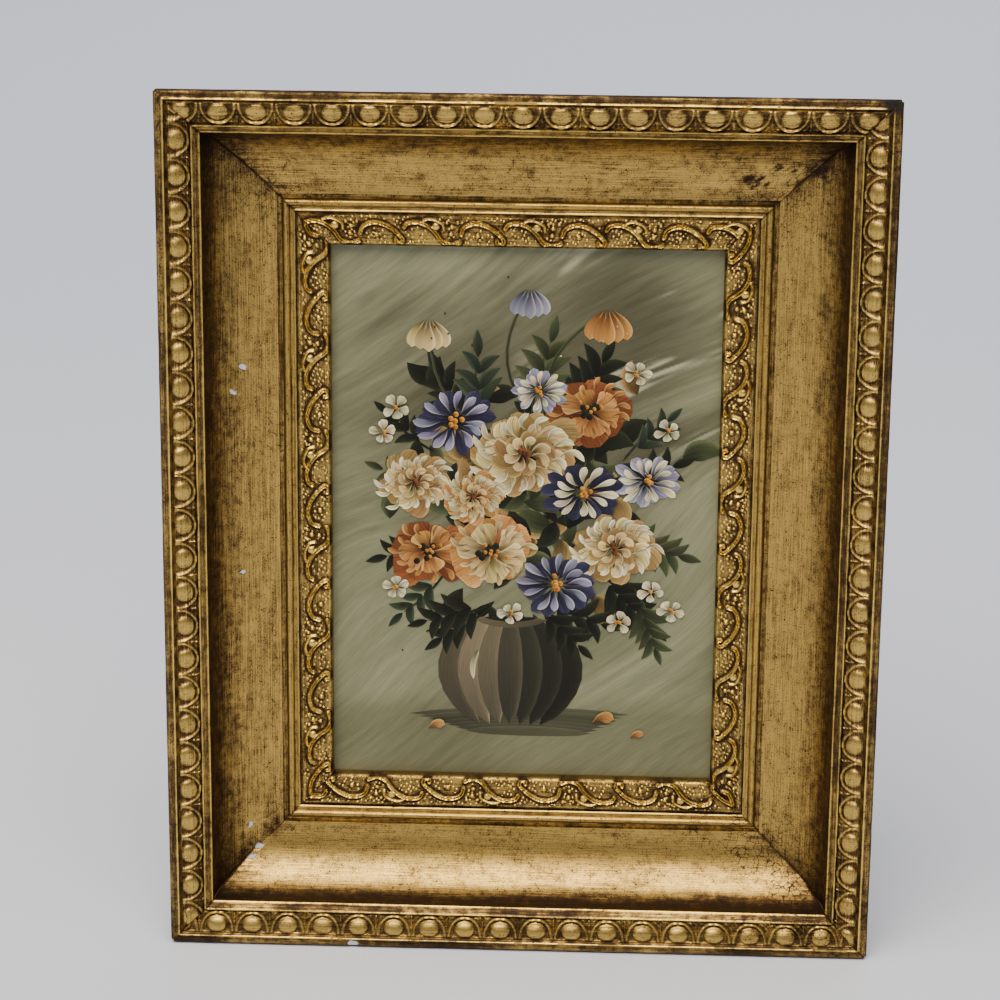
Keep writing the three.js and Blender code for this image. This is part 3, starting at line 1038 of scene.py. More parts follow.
@dataclass
class Skin:
    """The grid of a rail's skin in millimetres, with one row for each point of the moulding's outline."""

    side: Side
    points: np.ndarray
    zones: np.ndarray
    along: np.ndarray
    across: np.ndarray
    own_half: np.ndarray
    x: np.ndarray
    z: np.ndarray

    @property
    def front(self) -> np.ndarray:
        """A column that is true for the rows in view from the front or the side."""
        return (self.zones < Zone.RABBET.value)[:, None]

    @property
    def from_mitre(self) -> np.ndarray:
        """The distance from the nearer mitre along the rail."""
        return self.own_half - np.abs(self.along)

    def rows(self, *zones: Zone) -> np.ndarray:
        """Which rows lie in the given zones."""
        return np.isin(self.zones, [zone.value for zone in zones])

    def uneven(self, cell: float, seed: int, drawn_out: float = 1.0) -> np.ndarray:
        """Noise over the grid, with its own pattern on each rail.

        Args:
            cell: the noise's cell.
            seed: number that fixes the pattern.
            drawn_out: how many times longer the cell is along the rail.

        Returns:
            Values in -1..1.
        """
        return noise(self.along / drawn_out, self.across, cell, 40 + list(Side).index(self.side) + seed)


@dataclass
class Rail:
    """One mitred length of gilded moulding with its cast ornament. Lengths are in millimetres."""

    side: Side
    egg_pitch: float
    egg_shift: float
    scroll_shift: float
    stations: int = 640
    mitre_gap: float = 0.04
    highest: float = 0.15
    corner_radius: float = 1.6
    mottling: float = 0.08
    # Darker strip and fillet in broad patches, set for each rail: partly dirt, partly painted shade.
    edge_toning_and_shade: float = 0.0
    cove_toning: float = 0.0
    # Painted shade down the cove's steep wall: the amount and where it comes in.
    cove_shade_steps: tuple = ((0.34, 0.48, 0.2), (0.18, 0.66, 0.6))
    cove_raggedness: float = 1.0
    arris_toning: float = 0.12
    mitre_crackle: float = 0.5
    crackle_from: tuple = (-300, -299)
    moulding: Moulding = field(default_factory=Moulding)
    eggs: EggAndDart = field(default_factory=EggAndDart)
    scroll: RunningScroll = field(default_factory=RunningScroll)
    patina: Patina = field(default_factory=Patina)

    @property
    def node(self) -> str:
        """The CAD node that this rail stands for."""
        return f"rail_{self.side.name.lower()}"

    def build(
        self, middle: np.ndarray, half_size: np.ndarray, back: float, finishes: list
    ) -> bpy.types.Object:
        """Makes the rail as one closed skin.

        The outline is carried along the rail in equal shares of each row's own length, so that both ends lie
        on the mitre planes. Every point is moved along the outline's normal by the relief, and then its place
        along the rail is worked out again from how far inwards it has come.

        Args:
            middle: x and z of the frame's middle, in metres.
            half_size: half the frame's width and height, in metres.
            back: y of the frame's back, in metres.
            finishes: the gilding and the bare wood.

        Returns:
            The rail.
        """
        points, zones = self.moulding.outline()
        horizontal = self.side in (Side.BOTTOM, Side.TOP)
        half_length = half_size[0 if horizontal else 1] / MM
        reach = half_size[1 if horizontal else 0] / MM
        ahead, behind = np.roll(points, -1, 0), np.roll(points, 1, 0)
        normal = np.stack([behind[:, 1] - ahead[:, 1], ahead[:, 0] - behind[:, 0]], 1)
        normal /= np.linalg.norm(normal, axis=1)[:, None]
        girth = np.concatenate([[0], np.cumsum(np.linalg.norm(np.diff(points, axis=0), axis=1))])
        share = np.linspace(-1, 1, self.stations)[None, :]
        own_half = (half_length - points[:, :1]) - self.mitre_gap
        along = share * own_half
        across = np.broadcast_to(girth[:, None], along.shape)
        (in_x, in_z), (go_x, go_z) = self.side.value, self.side.along
        flat_x = in_x * (points[:, :1] - reach) + go_x * along
        flat_z = in_z * (points[:, :1] - reach) + go_z * along
        skin = Skin(self.side, points, zones, along, across, own_half, flat_x, flat_z)

        relief, tone, crackle = self.surface(skin)
        inward = np.clip(points[:, :1] + normal[:, :1] * relief, 0, None)
        rounding = self.corner_rounding(share * half_length, half_length)
        inward += rounding * smooth_step(3.2, 0.8, points[:, :1])
        height = points[:, 1:] + normal[:, 1:] * relief
        height = np.clip(height, 0, self.moulding.depth + self.highest)
        length = share * (half_length - inward - self.mitre_gap)
        x = middle[0] / MM + in_x * (inward - reach) + go_x * length
        z = middle[1] / MM + in_z * (inward - reach) + go_z * length
        y = back / MM - height
        vertices = np.stack([x, y, z], -1).reshape(-1, 3) * MM

        rows, columns = along.shape
        quads = grid_faces(rows, columns, closed=True)
        first, last = np.arange(rows) * columns, np.arange(rows) * columns + columns - 1
        caps = [first.tolist(), last[::-1].tolist()]
        if not outward(vertices, quads):
            quads, caps = quads[:, ::-1], [cap[::-1] for cap in caps]
        made = mesh_object(self.node + "_gilded", vertices, [*quads.tolist(), *caps])
        made.data.set_sharp_from_angle(angle=math.radians(58))
        for finish in finishes:
            made.data.materials.append(finish)
        bare = np.isin(zones, (Zone.RABBET.value, Zone.BACK.value))
        wood = np.repeat(bare, columns - 1).astype(np.int32)
        made.data.polygons.foreach_set("material_index", np.concatenate([wood, [1, 1]]).astype(np.int32))
        apart = 100.0 * list(Side).index(self.side)
        set_attribute(made, "moulding", "FLOAT_VECTOR", np.stack([along, across, 0 * along + apart], -1) * MM)
        set_attribute(made, "tone", "FLOAT_COLOR", tone)
        set_attribute(made, "crackle", "FLOAT", crackle)
        return made

    def corner_rounding(self, along: np.ndarray, half_length: float) -> np.ndarray:
        """How far the outer edge draws in near the frame's corners, as on a quarter circle.

        With m the distance from the corner along the rail, it is R - sqrt(R^2 - (R - m)^2). The mitre meets
        the circle at m = R (1 - 1 / sqrt 2), where the rail ends.

        Args:
            along: distance along the rail from its middle.
            half_length: half the rail's length at its outer edge.

        Returns:
            The distances in millimetres.
        """
        radius = self.corner_radius
        from_corner = half_length - np.abs(along) + radius * (1 - math.sqrt(0.5))
        return radius - np.sqrt(radius**2 - np.clip(radius - from_corner, 0, None) ** 2)

    def fine_ridges(self, points: np.ndarray, zones: np.ndarray) -> np.ndarray:
        """The thin raised lines: by the strip's inner edge, beside the fillet and on the inner step.

        Each line is the bell curve of the distance from its own place across the moulding.

        Args:
            points: the outline.
            zones: each outline point's zone number.

        Returns:
            Heights in millimetres, one row for each outline point.
        """
        moulding, x = self.moulding, points[:, 0]
        fillet = moulding.strip + moulding.egg_band
        cove = fillet + moulding.fillet
        step = cove + moulding.cove + moulding.cove_lip + moulding.groove + moulding.bead + moulding.line
        strip_line = 0.28 * bell(x - moulding.strip + 0.45, 0.3) - 0.14
        fillet_lines = 0.24 * bell(x - fillet - 0.3, 0.22) + 0.28 * bell(x - cove + 0.3, 0.2)
        step_line = 0.24 * bell(x - step + 0.3, 0.24)
        flat = points[:, 1] > moulding.scroll_level - 0.6 * moulding.groove_depth
        ridges = (zones == Zone.STRIP.value) * strip_line + (zones == Zone.FILLET.value) * fillet_lines
        return (ridges + (zones == Zone.INNER.value) * flat * step_line)[:, None]

    def carved(self, skin: Skin) -> np.ndarray:
        """The relief of the rail as it was made: eggs, scrolls, raised lines and slight unevenness.

        Args:
            skin: the grid.

        Returns:
            Heights in millimetres.
        """
        relief = np.zeros(skin.along.shape)
        eggs, scroll = skin.rows(Zone.EGGS), skin.rows(Zone.SCROLL)
        relief[eggs] = self.egg_relief(skin)
        across = skin.across[scroll] - skin.across[scroll][1, 0]
        relief[scroll] = self.scroll.relief(skin.along[scroll], across, self.scroll_shift)
        relief += self.fine_ridges(skin.points, skin.zones)
        uneven = 0.05 * skin.uneven(7, 0) + 0.025 * skin.uneven(1.7, 5)
        strokes = 0.012 * skin.uneven(0.5, 9, drawn_out=30)
        return relief + (uneven + strokes) * skin.front

    def egg_relief(self, skin: Skin) -> np.ndarray:
        """The egg band's heights, sunk a little and faded out at both edges of the band.

        Args:
            skin: the grid.

        Returns:
            Heights in millimetres, for the band's rows only.
        """
        across = self.across_eggs(skin)
        band = self.eggs.relief(skin.along[skin.rows(Zone.EGGS)], across, self.egg_pitch, self.egg_shift)
        return (band - self.eggs.sink) * smooth_step(-0.1, 0.5, across) * smooth_step(6.6, 6.1, across)

    def across_eggs(self, skin: Skin) -> np.ndarray:
        """The distance of each point of the egg band from the band's outer edge."""
        across = skin.across[skin.rows(Zone.EGGS)]
        return across - across[1, 0]

    def surface(self, skin: Skin) -> tuple[np.ndarray, np.ndarray, np.ndarray]:
        """The relief and the tones of the rail's skin.

        Args:
            skin: the grid.

        Returns:
            Heights in millimetres, four tones for each point (toning with painted shade, wear with painted
            highlight, chip and black) and the crackle.
        """
        patina = self.patina
        relief = self.carved(skin)
        chip, soil, black = (np.zeros(relief.shape) for _ in range(3))
        clots = np.clip(0.45 + 0.9 * noise(skin.x, skin.z, 1.3, 77), 0, 1)
        for blemish in BLEMISHES:
            strength = blemish.strength(skin.x, skin.z) * skin.front
            relief -= blemish.depth * strength
            chip = np.maximum(chip, blemish.chip * strength)
            black = np.maximum(black, blemish.black * strength)
            soil = np.maximum(soil, blemish.soil * strength * clots)
        toning_and_shade, wear_and_highlight = self.toned(skin, relief)
        crack = bell(skin.from_mitre, patina.mitre_crack_half)
        crack *= smooth_step(-0.25, 0.3, skin.uneven(6, 21) + 0.2)
        relief -= patina.mitre_crack_depth * crack * skin.front
        toning_and_shade += patina.mitre_crack_toning * crack
        in_cove = skin.rows(Zone.COVE)[:, None]
        toning_and_shade += patina.mitre_shade * bell(skin.from_mitre, patina.mitre_shade_half) * in_cove
        tone = np.stack([np.clip(toning_and_shade + soil, 0, 1), wear_and_highlight, chip, black], -1)
        return relief, tone, self.crackle(skin)

    def toned(self, skin: Skin, relief: np.ndarray) -> tuple[np.ndarray, np.ndarray]:
        """How brown and how worn each point of the gilding is.

        Dirt lies where the relief is lower than its blurred copy, and wear with a painted highlight where it
        is higher. Each zone of the moulding then adds its own: painted shade in the cove, the grooves, the
        quirks and round the eggs, and a painted highlight on the lip and the bead.

        Args:
            skin: the grid.
            relief: the heights in millimetres.

        Returns:
            The toning with its painted shade, and the wear with its painted highlight.
        """
        patina = self.patina
        hollow = np.clip((blurred(relief, patina.fine_reach) - relief) / patina.fine_depth, -1, 1)
        wide_hollow = np.clip((blurred(relief, patina.wide_reach) - relief) / patina.wide_depth, -1, 1)
        toning_and_shade = patina.everywhere + patina.in_hollows * (np.clip(hollow, 0, 1) + np.clip(wide_hollow, 0, 1))
        # Raised places get wear and a painted highlight.
        wear_and_highlight = np.clip(-hollow * patina.fine_wear_and_highlight - patina.wide_wear_and_highlight * wide_hollow, 0, 1)

        eggs, cove, inner, side = (skin.rows(zone) for zone in (Zone.EGGS, Zone.COVE, Zone.INNER, Zone.SIDE))
        band = self.eggs.relief(skin.along[eggs], self.across_eggs(skin), self.egg_pitch, self.egg_shift)
        wear_and_highlight[eggs] *= patina.egg_wear_and_highlight
        # Painted shade: darker on the lower slopes of the eggs and their arches, leaving crowns and ground
        # alone.
        toning_and_shade[eggs] += stepped(patina.egg_rim_shade, band) * stepped(patina.egg_shade_foot, band)

        # Painted shade: darker on the cove's steep wall next to the fillet, fading down the cove.
        down = np.linspace(0, 1, cove.sum())[:, None]
        ragged = patina.cove_raggedness * skin.uneven(2.5, 13, drawn_out=5)[cove]
        place = down + self.cove_raggedness * ragged
        toning_and_shade[cove] += sum(stepped(step, place) for step in self.cove_shade_steps) + self.cove_toning

        # Painted shade with some dirt: darker the deeper the inner grooves lie, darkest beside the scroll
        # band.
        dips = self.moulding.scroll_level - skin.points[inner, 1:]
        toning_and_shade[inner] += sum(stepped(step, dips) for step in patina.groove_shade_steps)
        # Painted highlight on the lip's top and the bead's crown, carried in the wear channel.
        wear_and_highlight[inner] = np.maximum(0.6 * wear_and_highlight[inner], stepped(patina.lip_and_bead_highlight, dips))

        # Painted shade on the steep walls of the quirks beside the strip, the eggs and the fillet.
        strip_and_fillet = skin.rows(Zone.STRIP, Zone.FILLET)
        low_quirk = strip_and_fillet | eggs
        steepness = np.abs(np.gradient(skin.points[:, 1]))[:, None]
        toning_and_shade[low_quirk] += stepped(patina.quirk_shade_step, steepness[low_quirk])
        toning_and_shade[eggs] = np.minimum(toning_and_shade[eggs] + patina.egg_ground, patina.egg_most)

        patches = skin.uneven(3.2, 17, drawn_out=2.5) + 0.7 * skin.uneven(0.9, 18, drawn_out=1.6)
        toning_and_shade += self.mottling * patches * skin.front
        # Dirt and painted shade on the strip and fillet in broad patches, strongest on the bottom rail.
        dirt_and_shade = self.edge_toning_and_shade * smooth_step(-0.3, 0.7, skin.uneven(17, 30))
        toning_and_shade += (patina.on_strip + dirt_and_shade) * strip_and_fillet[:, None]
        arris = smooth_step(0.8, 0.3, skin.points[:, :1]) * smooth_step(-0.9, 0.1, skin.uneven(11, 31))
        toning_and_shade += self.arris_toning * arris * skin.rows(Zone.STRIP)[:, None]
        toning_and_shade[side] = patina.on_side + 0.05 * skin.uneven(40, 23)[side]
        return toning_and_shade, wear_and_highlight

    def crackle(self, skin: Skin) -> np.ndarray:
        """How strongly the fine cracks show: most by the mitres and in a few patches elsewhere."""
        patina = self.patina
        near = stepped(patina.crackle_step, skin.from_mitre + 14 * skin.uneven(9, 41)) * self.mitre_crackle
        near *= smooth_step(*self.crackle_from, skin.x)
        return np.maximum(near, stepped(patina.crackle_patches, skin.uneven(24, 42))) * skin.front


# The painted panel


class Mark(Enum):
    """Outlines of one brush mark, as the powers a and b of its width sin(pi t^a)^b along its length t."""

    PETAL = (2.0, 0.62)
    LEAF = (0.85, 0.95)
    DAB = (1.0, 0.5)
    STEM = (1.0, 0.16)


@dataclass(frozen=True)
class Colours:
    """The three oil colours that a brush carries: at the mark's start, at its end and along one edge."""

    start: str
    end: str
    edge: str


CREAM = Colours("#4a3a1e", "#b9a26c", "#dccd9c")
BUFF = Colours("#40301a", "#7e643a", "#a98d58")
PEACH = Colours("#4e2a12", "#a0703a", "#c89e62")
RUST = Colours("#30160c", "#6a3a1e", "#8e5a30")
VIOLET = Colours("#12111a", "#26253a", "#434158")
PALE_VIOLET = Colours("#2a293c", "#7a788c", "#b4b0b2")
WHITE = Colours("#5a553e", "#c6bd98", "#e2dab8")
DARK_LEAF = Colours("#0b0c07", "#191c11", "#2a301e")
OLIVE_LEAF = Colours("#1e2214", "#373e27", "#565f3e")
TEAL_LEAF = Colours("#161c14", "#2a3426", "#465038")
AMBER = Colours("#6a3a10", "#c07c2a", "#e6b452")
SHADOW = Colours("#37372a", "#3f4030", "#4a4b39")
JAR = (
    Colours("#4a4636", "#3c3a2e", "#6b664f"), Colours("#6a644c", "#4e4a3a", "#8f8869"),
    Colours("#57523f", "#423f32", "#746e55"), Colours("#3e3b2f", "#302e25", "#54503f"),
    Colours("#2a2820", "#212019", "#3a382d"), Colours("#1e1d17", "#191813", "#2a2820"),
)


class Brush:
    """Collects brush marks in the order in which they are laid, for building them all at once."""

    def __init__(self, seed: int) -> None:
        """Starts with no marks.

        Args:
            seed: number that fixes the unevenness of the hand.
        """
        self.random = np.random.default_rng(seed)
        self.rows: list[list[float]] = []
        self.loads: list[np.ndarray] = []

    def lay(
        self,
        start: tuple[float, float],
        end: tuple[float, float],
        width: float,
        mark: Mark,
        load: Colours,
        bend: float = 0.0,
        bristle: float = 0.22,
    ) -> None:
        """Lays one mark.

        Args:
            start: x and z of its start, in millimetres from the painting's middle.
            end: x and z of its end.
            width: its greatest width.
            mark: its outline.
            load: its colours.
            bend: how far its middle stands off the straight line, as a share of its length.
            bristle: how much lighter and darker the bristles' lines are.
        """
        self.rows.append([*start, *end, width, bend, *mark.value, bristle])
        tint = 1 + self.random.uniform(-0.2, 0.2) + self.random.uniform(-0.06, 0.06, 3)
        self.loads.append(np.stack([rgb(load.start), rgb(load.end), rgb(load.edge)]) * tint)

    def leaf_spray(self, root: tuple, angle: float, length: float, pairs: int, load: Colours) -> None:
        """A curved stem with pairs of leaves and one at its end.

        Args:
            root: where the stem starts.
            angle: its direction in degrees, anticlockwise from the right.
            length: its length.
            pairs: how many pairs of leaves it carries.
            load: the leaves' colours.
        """
        turn, reach = math.radians(angle), length * 0.72
        tip = (root[0] + reach * math.cos(turn), root[1] + reach * math.sin(turn))
        self.lay(root, tip, 0.8, Mark.STEM, load, bend=0.06)
        for k in range(pairs + 1):
            t = 0.35 + 0.65 * k / pairs
            base = (root[0] + (tip[0] - root[0]) * t, root[1] + (tip[1] - root[1]) * t)
            size = length * (0.34 - 0.1 * k / pairs) * self.random.uniform(0.85, 1.1)
            sides = (0,) if k == pairs else (-1, 1)
            for side in sides:
                way = turn + side * math.radians(self.random.uniform(34, 52))
                end = (base[0] + size * math.cos(way), base[1] + size * math.sin(way))
                self.lay(base, end, size * 0.36, Mark.LEAF, load, bend=-0.12 * side, bristle=0.3)

    def ring(
        self,
        centre: tuple,
        radius: float,
        count: int,
        width: float,
        load: Colours,
        inner: float = 0.15,
        squash: float = 0.8,
        turn: float = 0.0,
        swirl: float = 0.0,
    ) -> None:
        """One ring of petals.

        Args:
            centre: the flower's middle.
            radius: from there to the petals' ends.
            count: number of petals.
            width: the petals' width.
            load: their colours.
            inner: where they start, as a share of the radius.
            squash: height of the ring as a share of its width.
            turn: angle of the first petal in degrees.
            swirl: how far each petal bends to one side.
        """
        for k in range(count):
            angle = math.radians(turn + 360 * k / count + self.random.uniform(-7, 7))
            far = radius * self.random.uniform(0.8, 1.12)
            way = np.array([math.cos(angle), squash * math.sin(angle)])
            start, end = centre + way * far * inner, centre + way * far
            own = swirl + self.random.uniform(-0.1, 0.1)
            wide = width * self.random.uniform(0.8, 1.1)
            self.lay(tuple(start), tuple(end), wide, Mark.PETAL, load, own, 0.6)

    def dots(self, centre: tuple, reach: float, count: int, size: float, load: Colours) -> None:
        """Small dabs scattered round a point."""
        for _ in range(count):
            place = np.array(centre) + self.random.normal(0, reach * 0.5, 2)
            self.lay((place[0] - size / 2, place[1]), (place[0] + size / 2, place[1]), size, Mark.DAB, load)

    def daisy(self, centre: tuple, radius: float, back: Colours, front: Colours) -> None:
        """A many-petalled flower with pale marks over its dark ones and an amber middle."""
        centre = np.array(centre)
        self.ring(centre, radius, 13, radius * 0.36, back, turn=10)
        self.ring(centre, radius * 0.9, 12, radius * 0.2, front, inner=0.3, turn=24, swirl=0.08)
        self.dots(tuple(centre), radius * 0.16, 7, radius * 0.13, AMBER)

    def poppy(self, centre: tuple, radius: float, outer: Colours, inner: Colours) -> None:
        """An open cup of broad petals with a dark, dotted middle."""
        centre = np.array(centre)
        self.ring(centre, radius, 7, radius * 0.9, outer, inner=0.05, turn=20)
        self.ring(centre, radius * 0.78, 6, radius * 0.62, inner, inner=0.1, turn=50)
        self.ring(centre, radius * 0.98, 15, radius * 0.13, inner, inner=0.55, turn=8, swirl=0.2)
        self.dots(tuple(centre), radius * 0.22, 9, radius * 0.16, DARK_LEAF)
        self.dots(tuple(centre), radius * 0.3, 7, radius * 0.09, AMBER)

    def rosette(self, centre: tuple, radius: float, outer: Colours, inner: Colours) -> None:
        """A full double flower: swirling rings of narrow comma marks over a darker ball."""
        centre = np.array(centre)
        self.ring(centre, radius, 12, radius * 0.55, outer, inner=0.2, swirl=0.2)
        self.ring(centre, radius * 0.84, 13, radius * 0.3, inner, inner=0.35, turn=14, swirl=0.26)
        self.ring(centre, radius * 0.56, 9, radius * 0.26, outer, inner=0.1, turn=31, swirl=0.3)
        self.ring(centre, radius * 0.46, 8, radius * 0.18, inner, inner=0.2, turn=8, swirl=0.36)
        self.ring(centre, radius * 1.02, 16, radius * 0.12, WHITE, inner=0.55, turn=20, swirl=0.34)
        self.dots(tuple(centre), radius * 0.1, 4, radius * 0.12, RUST)

    def bell_flower(self, root: tuple, tip: tuple, size: float, load: Colours) -> None:
        """A nodding bell on a thin stem: five long marks side by side."""
        self.lay(root, tip, 0.9, Mark.STEM, OLIVE_LEAF, bend=0.18)
        for k in (-2, 2, -1, 1, 0):
            end = (tip[0] + k * size * 0.22, tip[1] - size * (0.85 - 0.06 * abs(k)))
            self.lay((tip[0] + k * size * 0.05, tip[1]), end, size * 0.34, Mark.PETAL, load, bend=0.05 * k)

    def marks(self, stations: int, across: int, lift: float = 0.0006, pattern_step: float = 0.144) -> tuple:
        """Works out every mark's surface at once.

        The middle line of a mark is the straight line from start to end, moved aside by bend sin(pi t). Its
        half width at t is that of the mark's outline. Each mark lies a little above the one before it.

        Args:
            stations: points along each mark.
            across: points across it.
            lift: how much higher each mark lies than the one before, in millimetres.
            pattern_step: how far the bristles' pattern moves from each mark to the next, in millimetres.

        Returns:
            x, z and lift of the points, their colours, their places along and across the mark, and the
            bristle strength, all with one row for each point.
        """
        rows = np.array(self.rows)[:, :, None, None]
        x0, z0, x1, z1, width, bend, a, b, bristle = (rows[:, k] for k in range(9))
        t = np.linspace(0, 1, stations)[None, :, None]
        s = np.linspace(-1, 1, across)[None, None, :]
        long_x, long_z = x1 - x0, z1 - z0
        length = np.hypot(long_x, long_z)
        aside = bend * np.sin(np.pi * t)
        slope = bend * np.pi * np.cos(np.pi * t)
        tangent_x, tangent_z = long_x - slope * long_z, long_z + slope * long_x
        size = np.hypot(tangent_x, tangent_z)
        half = 0.5 * width * np.clip(np.sin(np.pi * t**a), 0, 1) ** b
        x = x0 + long_x * t - aside * long_z - s * half * tangent_z / size
        z = z0 + long_z * t + aside * long_x + s * half * tangent_x / size
        number = np.arange(len(self.rows))[:, None, None] + 0 * x
        loads = np.array(self.loads)[:, :, None, None, :]
        fade, side = smooth_step(0.05, 0.95, t)[..., None], smooth_step(0.3, 1.0, s)[..., None]
        colour = loads[:, 0] * (1 - fade) + loads[:, 1] * fade
        edge = 0.75 * side
        colour = colour * (1 - edge) + loads[:, 2] * edge
        place = np.stack([t * length + 0 * s, s * half + number * pattern_step, 0 * x], -1)
        points = np.stack([x, z, number * lift], -1)
        return tuple(part.reshape(x.size, -1) for part in (points, colour, place, bristle + 0 * x))


@dataclass
class Painting:
    """The paint on the panel: a brushed grey-green ground and a jar of garden flowers, a design of our own.

    Sizes are in millimetres, places from the middle of the painting.
    """

    width: float = 127.0
    height: float = 178.0
    columns: int = 200
    rows: int = 280
    seed: int = 9
    stations: int = 10
    across: int = 5
    under_marks: int = 150
    ground_lift: float = 0.02
    mark_lift: float = 0.01
    dark_ground: str = "#545640"
    pale_ground: str = "#8f9173"
    shade: str = "#332e20"
    scrubbed: str = "#aaab8e"
    table: str = "#57543c"

    def ground(self) -> tuple:
        """The ground's points, colours, stroke places and bristle strengths.

        The colour goes from pale to dark grey-green by broad clouds and by long thin noise along slanting
        brush marks, with a brown shade behind the flowers and pale scrubbed patches at the upper right.

        Returns:
            The same four arrays as for the marks.
        """
        x, z = np.meshgrid(
            np.linspace(-self.width / 2, self.width / 2, self.columns),
            np.linspace(-self.height / 2, self.height / 2, self.rows),
        )
        slant = 0.72 + 0.22 * noise(x, z, 60, self.seed)
        along = x * np.cos(slant) + z * np.sin(slant)
        aside = z * np.cos(slant) - x * np.sin(slant)
        broad = noise(along, aside * 2.2, 34, self.seed + 1)
        brushed = noise(along / 14, aside, 1.6, self.seed + 2)
        brushed += 0.6 * noise(along / 9, aside, 0.8, self.seed + 3)
        shade = 0.5 + 0.26 * broad + 0.13 * brushed + 0.12 * z / self.height
        dark = smooth_step(66, 24, np.hypot((x - 6) / 0.95, (z - 34) / 1.1) + 12 * broad + 3 * brushed)
        scrub = smooth_step(0.35, 0.9, noise(along, aside * 2.4, 15, self.seed + 4) + 0.4 * brushed)
        scrub *= smooth_step(-12, 26, x) * smooth_step(8, 44, z)
        low = smooth_step(-56, -66, z + 2.0 * broad)
        shade = np.clip(shade, 0, 1)[..., None]
        colour = rgb(self.dark_ground) * (1 - shade) + rgb(self.pale_ground) * shade
        for amount, tone in ((0.7 * dark, self.shade), (0.8 * scrub, self.scrubbed), (0.5 * low, self.table)):
            colour = colour * (1 - amount[..., None]) + rgb(tone) * amount[..., None]
        points = np.stack([x, z, 0 * x], -1)
        place = np.stack([along, aside, 0 * x], -1)
        strength = np.full(x.shape, 0.16)
        return tuple(part.reshape(x.size, -1) for part in (points, colour, place, strength))

    def draw(self) -> Brush:
        """Lays the jar, the leaves and the flowers, from back to front."""
        brush = Brush(self.seed)
        lay = brush.lay
        for k in range(7):
            lay((-36 + 3 * k, -66 - 0.9 * k), (34 - 2 * k, -65 - 1.1 * k), 3.4, Mark.DAB, SHADOW, 0.01, 0.12)
        for _ in range(self.under_marks):
            place = brush.random.normal(0, 1, 2) * (18, 15) + (0, 8)
            way = brush.random.uniform(0, 360)
            load = (DARK_LEAF, DARK_LEAF, OLIVE_LEAF, BUFF)[brush.random.integers(4)]
            reach = brush.random.uniform(7, 13)
            end = (place[0] + reach * math.cos(way), place[1] + reach * math.sin(way))
            lay(tuple(place), end, reach * 0.55, Mark.LEAF, load, 0.15, 0.35)
        sprays = (
            (-12, 18, 118, 40, 4, DARK_LEAF), (10, 22, 64, 42, 4, DARK_LEAF),
            (-24, 6, 158, 30, 3, OLIVE_LEAF), (24, 8, 22, 32, 3, DARK_LEAF),
            (-22, -8, 196, 30, 3, DARK_LEAF), (24, -6, -14, 34, 4, OLIVE_LEAF),
            (-14, 26, 92, 34, 3, TEAL_LEAF), (20, -16, -44, 36, 4, DARK_LEAF),
            (-24, -18, 226, 28, 3, TEAL_LEAF), (2, 30, 78, 36, 3, OLIVE_LEAF),
            (30, 18, 44, 26, 3, TEAL_LEAF), (-28, 20, 140, 26, 3, DARK_LEAF),
            (34, -22, -70, 30, 4, OLIVE_LEAF),
        )
        for x, z, angle, length, pairs, load in sprays:
            brush.leaf_spray((x, z), angle, length, pairs, load)
        for k, load in sorted(enumerate((*JAR, JAR[5])), key=lambda pair: -abs(pair[0] - 2.5)):
            side = k / 3 - 1
            lay((-4 + side * 10.5, -32), (-4 + side * 9.5, -69), 8.0, Mark.DAB, load, 0.24 * side, 0.2)
        lay((-15.5, -34), (7.5, -34), 3.6, Mark.DAB, JAR[2], -0.04, 0.25)
        lay((-12.5, -33.4), (4.5, -33.4), 1.6, Mark.DAB, JAR[5], -0.03, 0.2)
        lay((-14, -44), (-15.5, -54), 1.8, Mark.DAB, WHITE, -0.1, 0.4)
        for side, reach in ((-1, 22), (1, 30), (-1, 30), (1, 19)):
            base = (side * 6 - 3, -28)
            brush.leaf_spray(base, 270 + side * reach * 2.4, 22 + reach * 0.3, 3, DARK_LEAF)
        brush.bell_flower((-6, 24), (-30, 62), 12, CREAM)
        brush.bell_flower((6, 26), (25, 66), 13, PEACH)
        brush.bell_flower((2, 30), (1, 72), 11, PALE_VIOLET)
        blooms = (
            ("daisy", -22, 30, 13, VIOLET, PALE_VIOLET), ("poppy", 20, 34, 13, RUST, PEACH),
            ("rosette", -34, 10, 12, BUFF, CREAM), ("daisy", 38, 12, 11, PALE_VIOLET, WHITE),
            ("poppy", -30, -12, 13, RUST, PEACH), ("rosette", 28, -10, 14, BUFF, CREAM),
            ("daisy", 4, 40, 9, PALE_VIOLET, WHITE), ("daisy", 10, -22, 13, VIOLET, PALE_VIOLET),
            ("rosette", 0, 20, 17, BUFF, CREAM), ("poppy", -10, -12, 14, PEACH, CREAM),
            ("daisy", 18, 8, 12, VIOLET, WHITE), ("rosette", -16, 6, 10, PEACH, CREAM),
        )
        for kind, x, z, radius, first, second in blooms:
            getattr(brush, kind)((x, z), radius, first, second)
        fillers = (
            (-44, 26), (-40, 34), (44, 28), (40, -24), (46, -30), (-40, -24), (-4, -32), (30, -34), (34, 46),
        )
        for x, z in fillers:
            centre = np.array([x, z], float)
            brush.ring(centre, 4.4, 5, 3.0, WHITE, inner=0.1, squash=0.9, turn=brush.random.uniform(0, 70))
            brush.dots((x, z), 0.7, 3, 1.1, AMBER)
        for x, z, size in ((22, -68, 7), (-30, -71, 5.5), (34, -73, 4.5)):
            lay((x, z), (x + size, z + 1.6), size * 0.55, Mark.PETAL, PEACH, 0.2, 0.3)
        for x, z, count, load in ((-26, 58, 7, DARK_LEAF), (-38, -38, 3, DARK_LEAF), (20, 54, 4, WHITE)):
            brush.dots((x, z), 18, count, 0.6, load)
        return brush

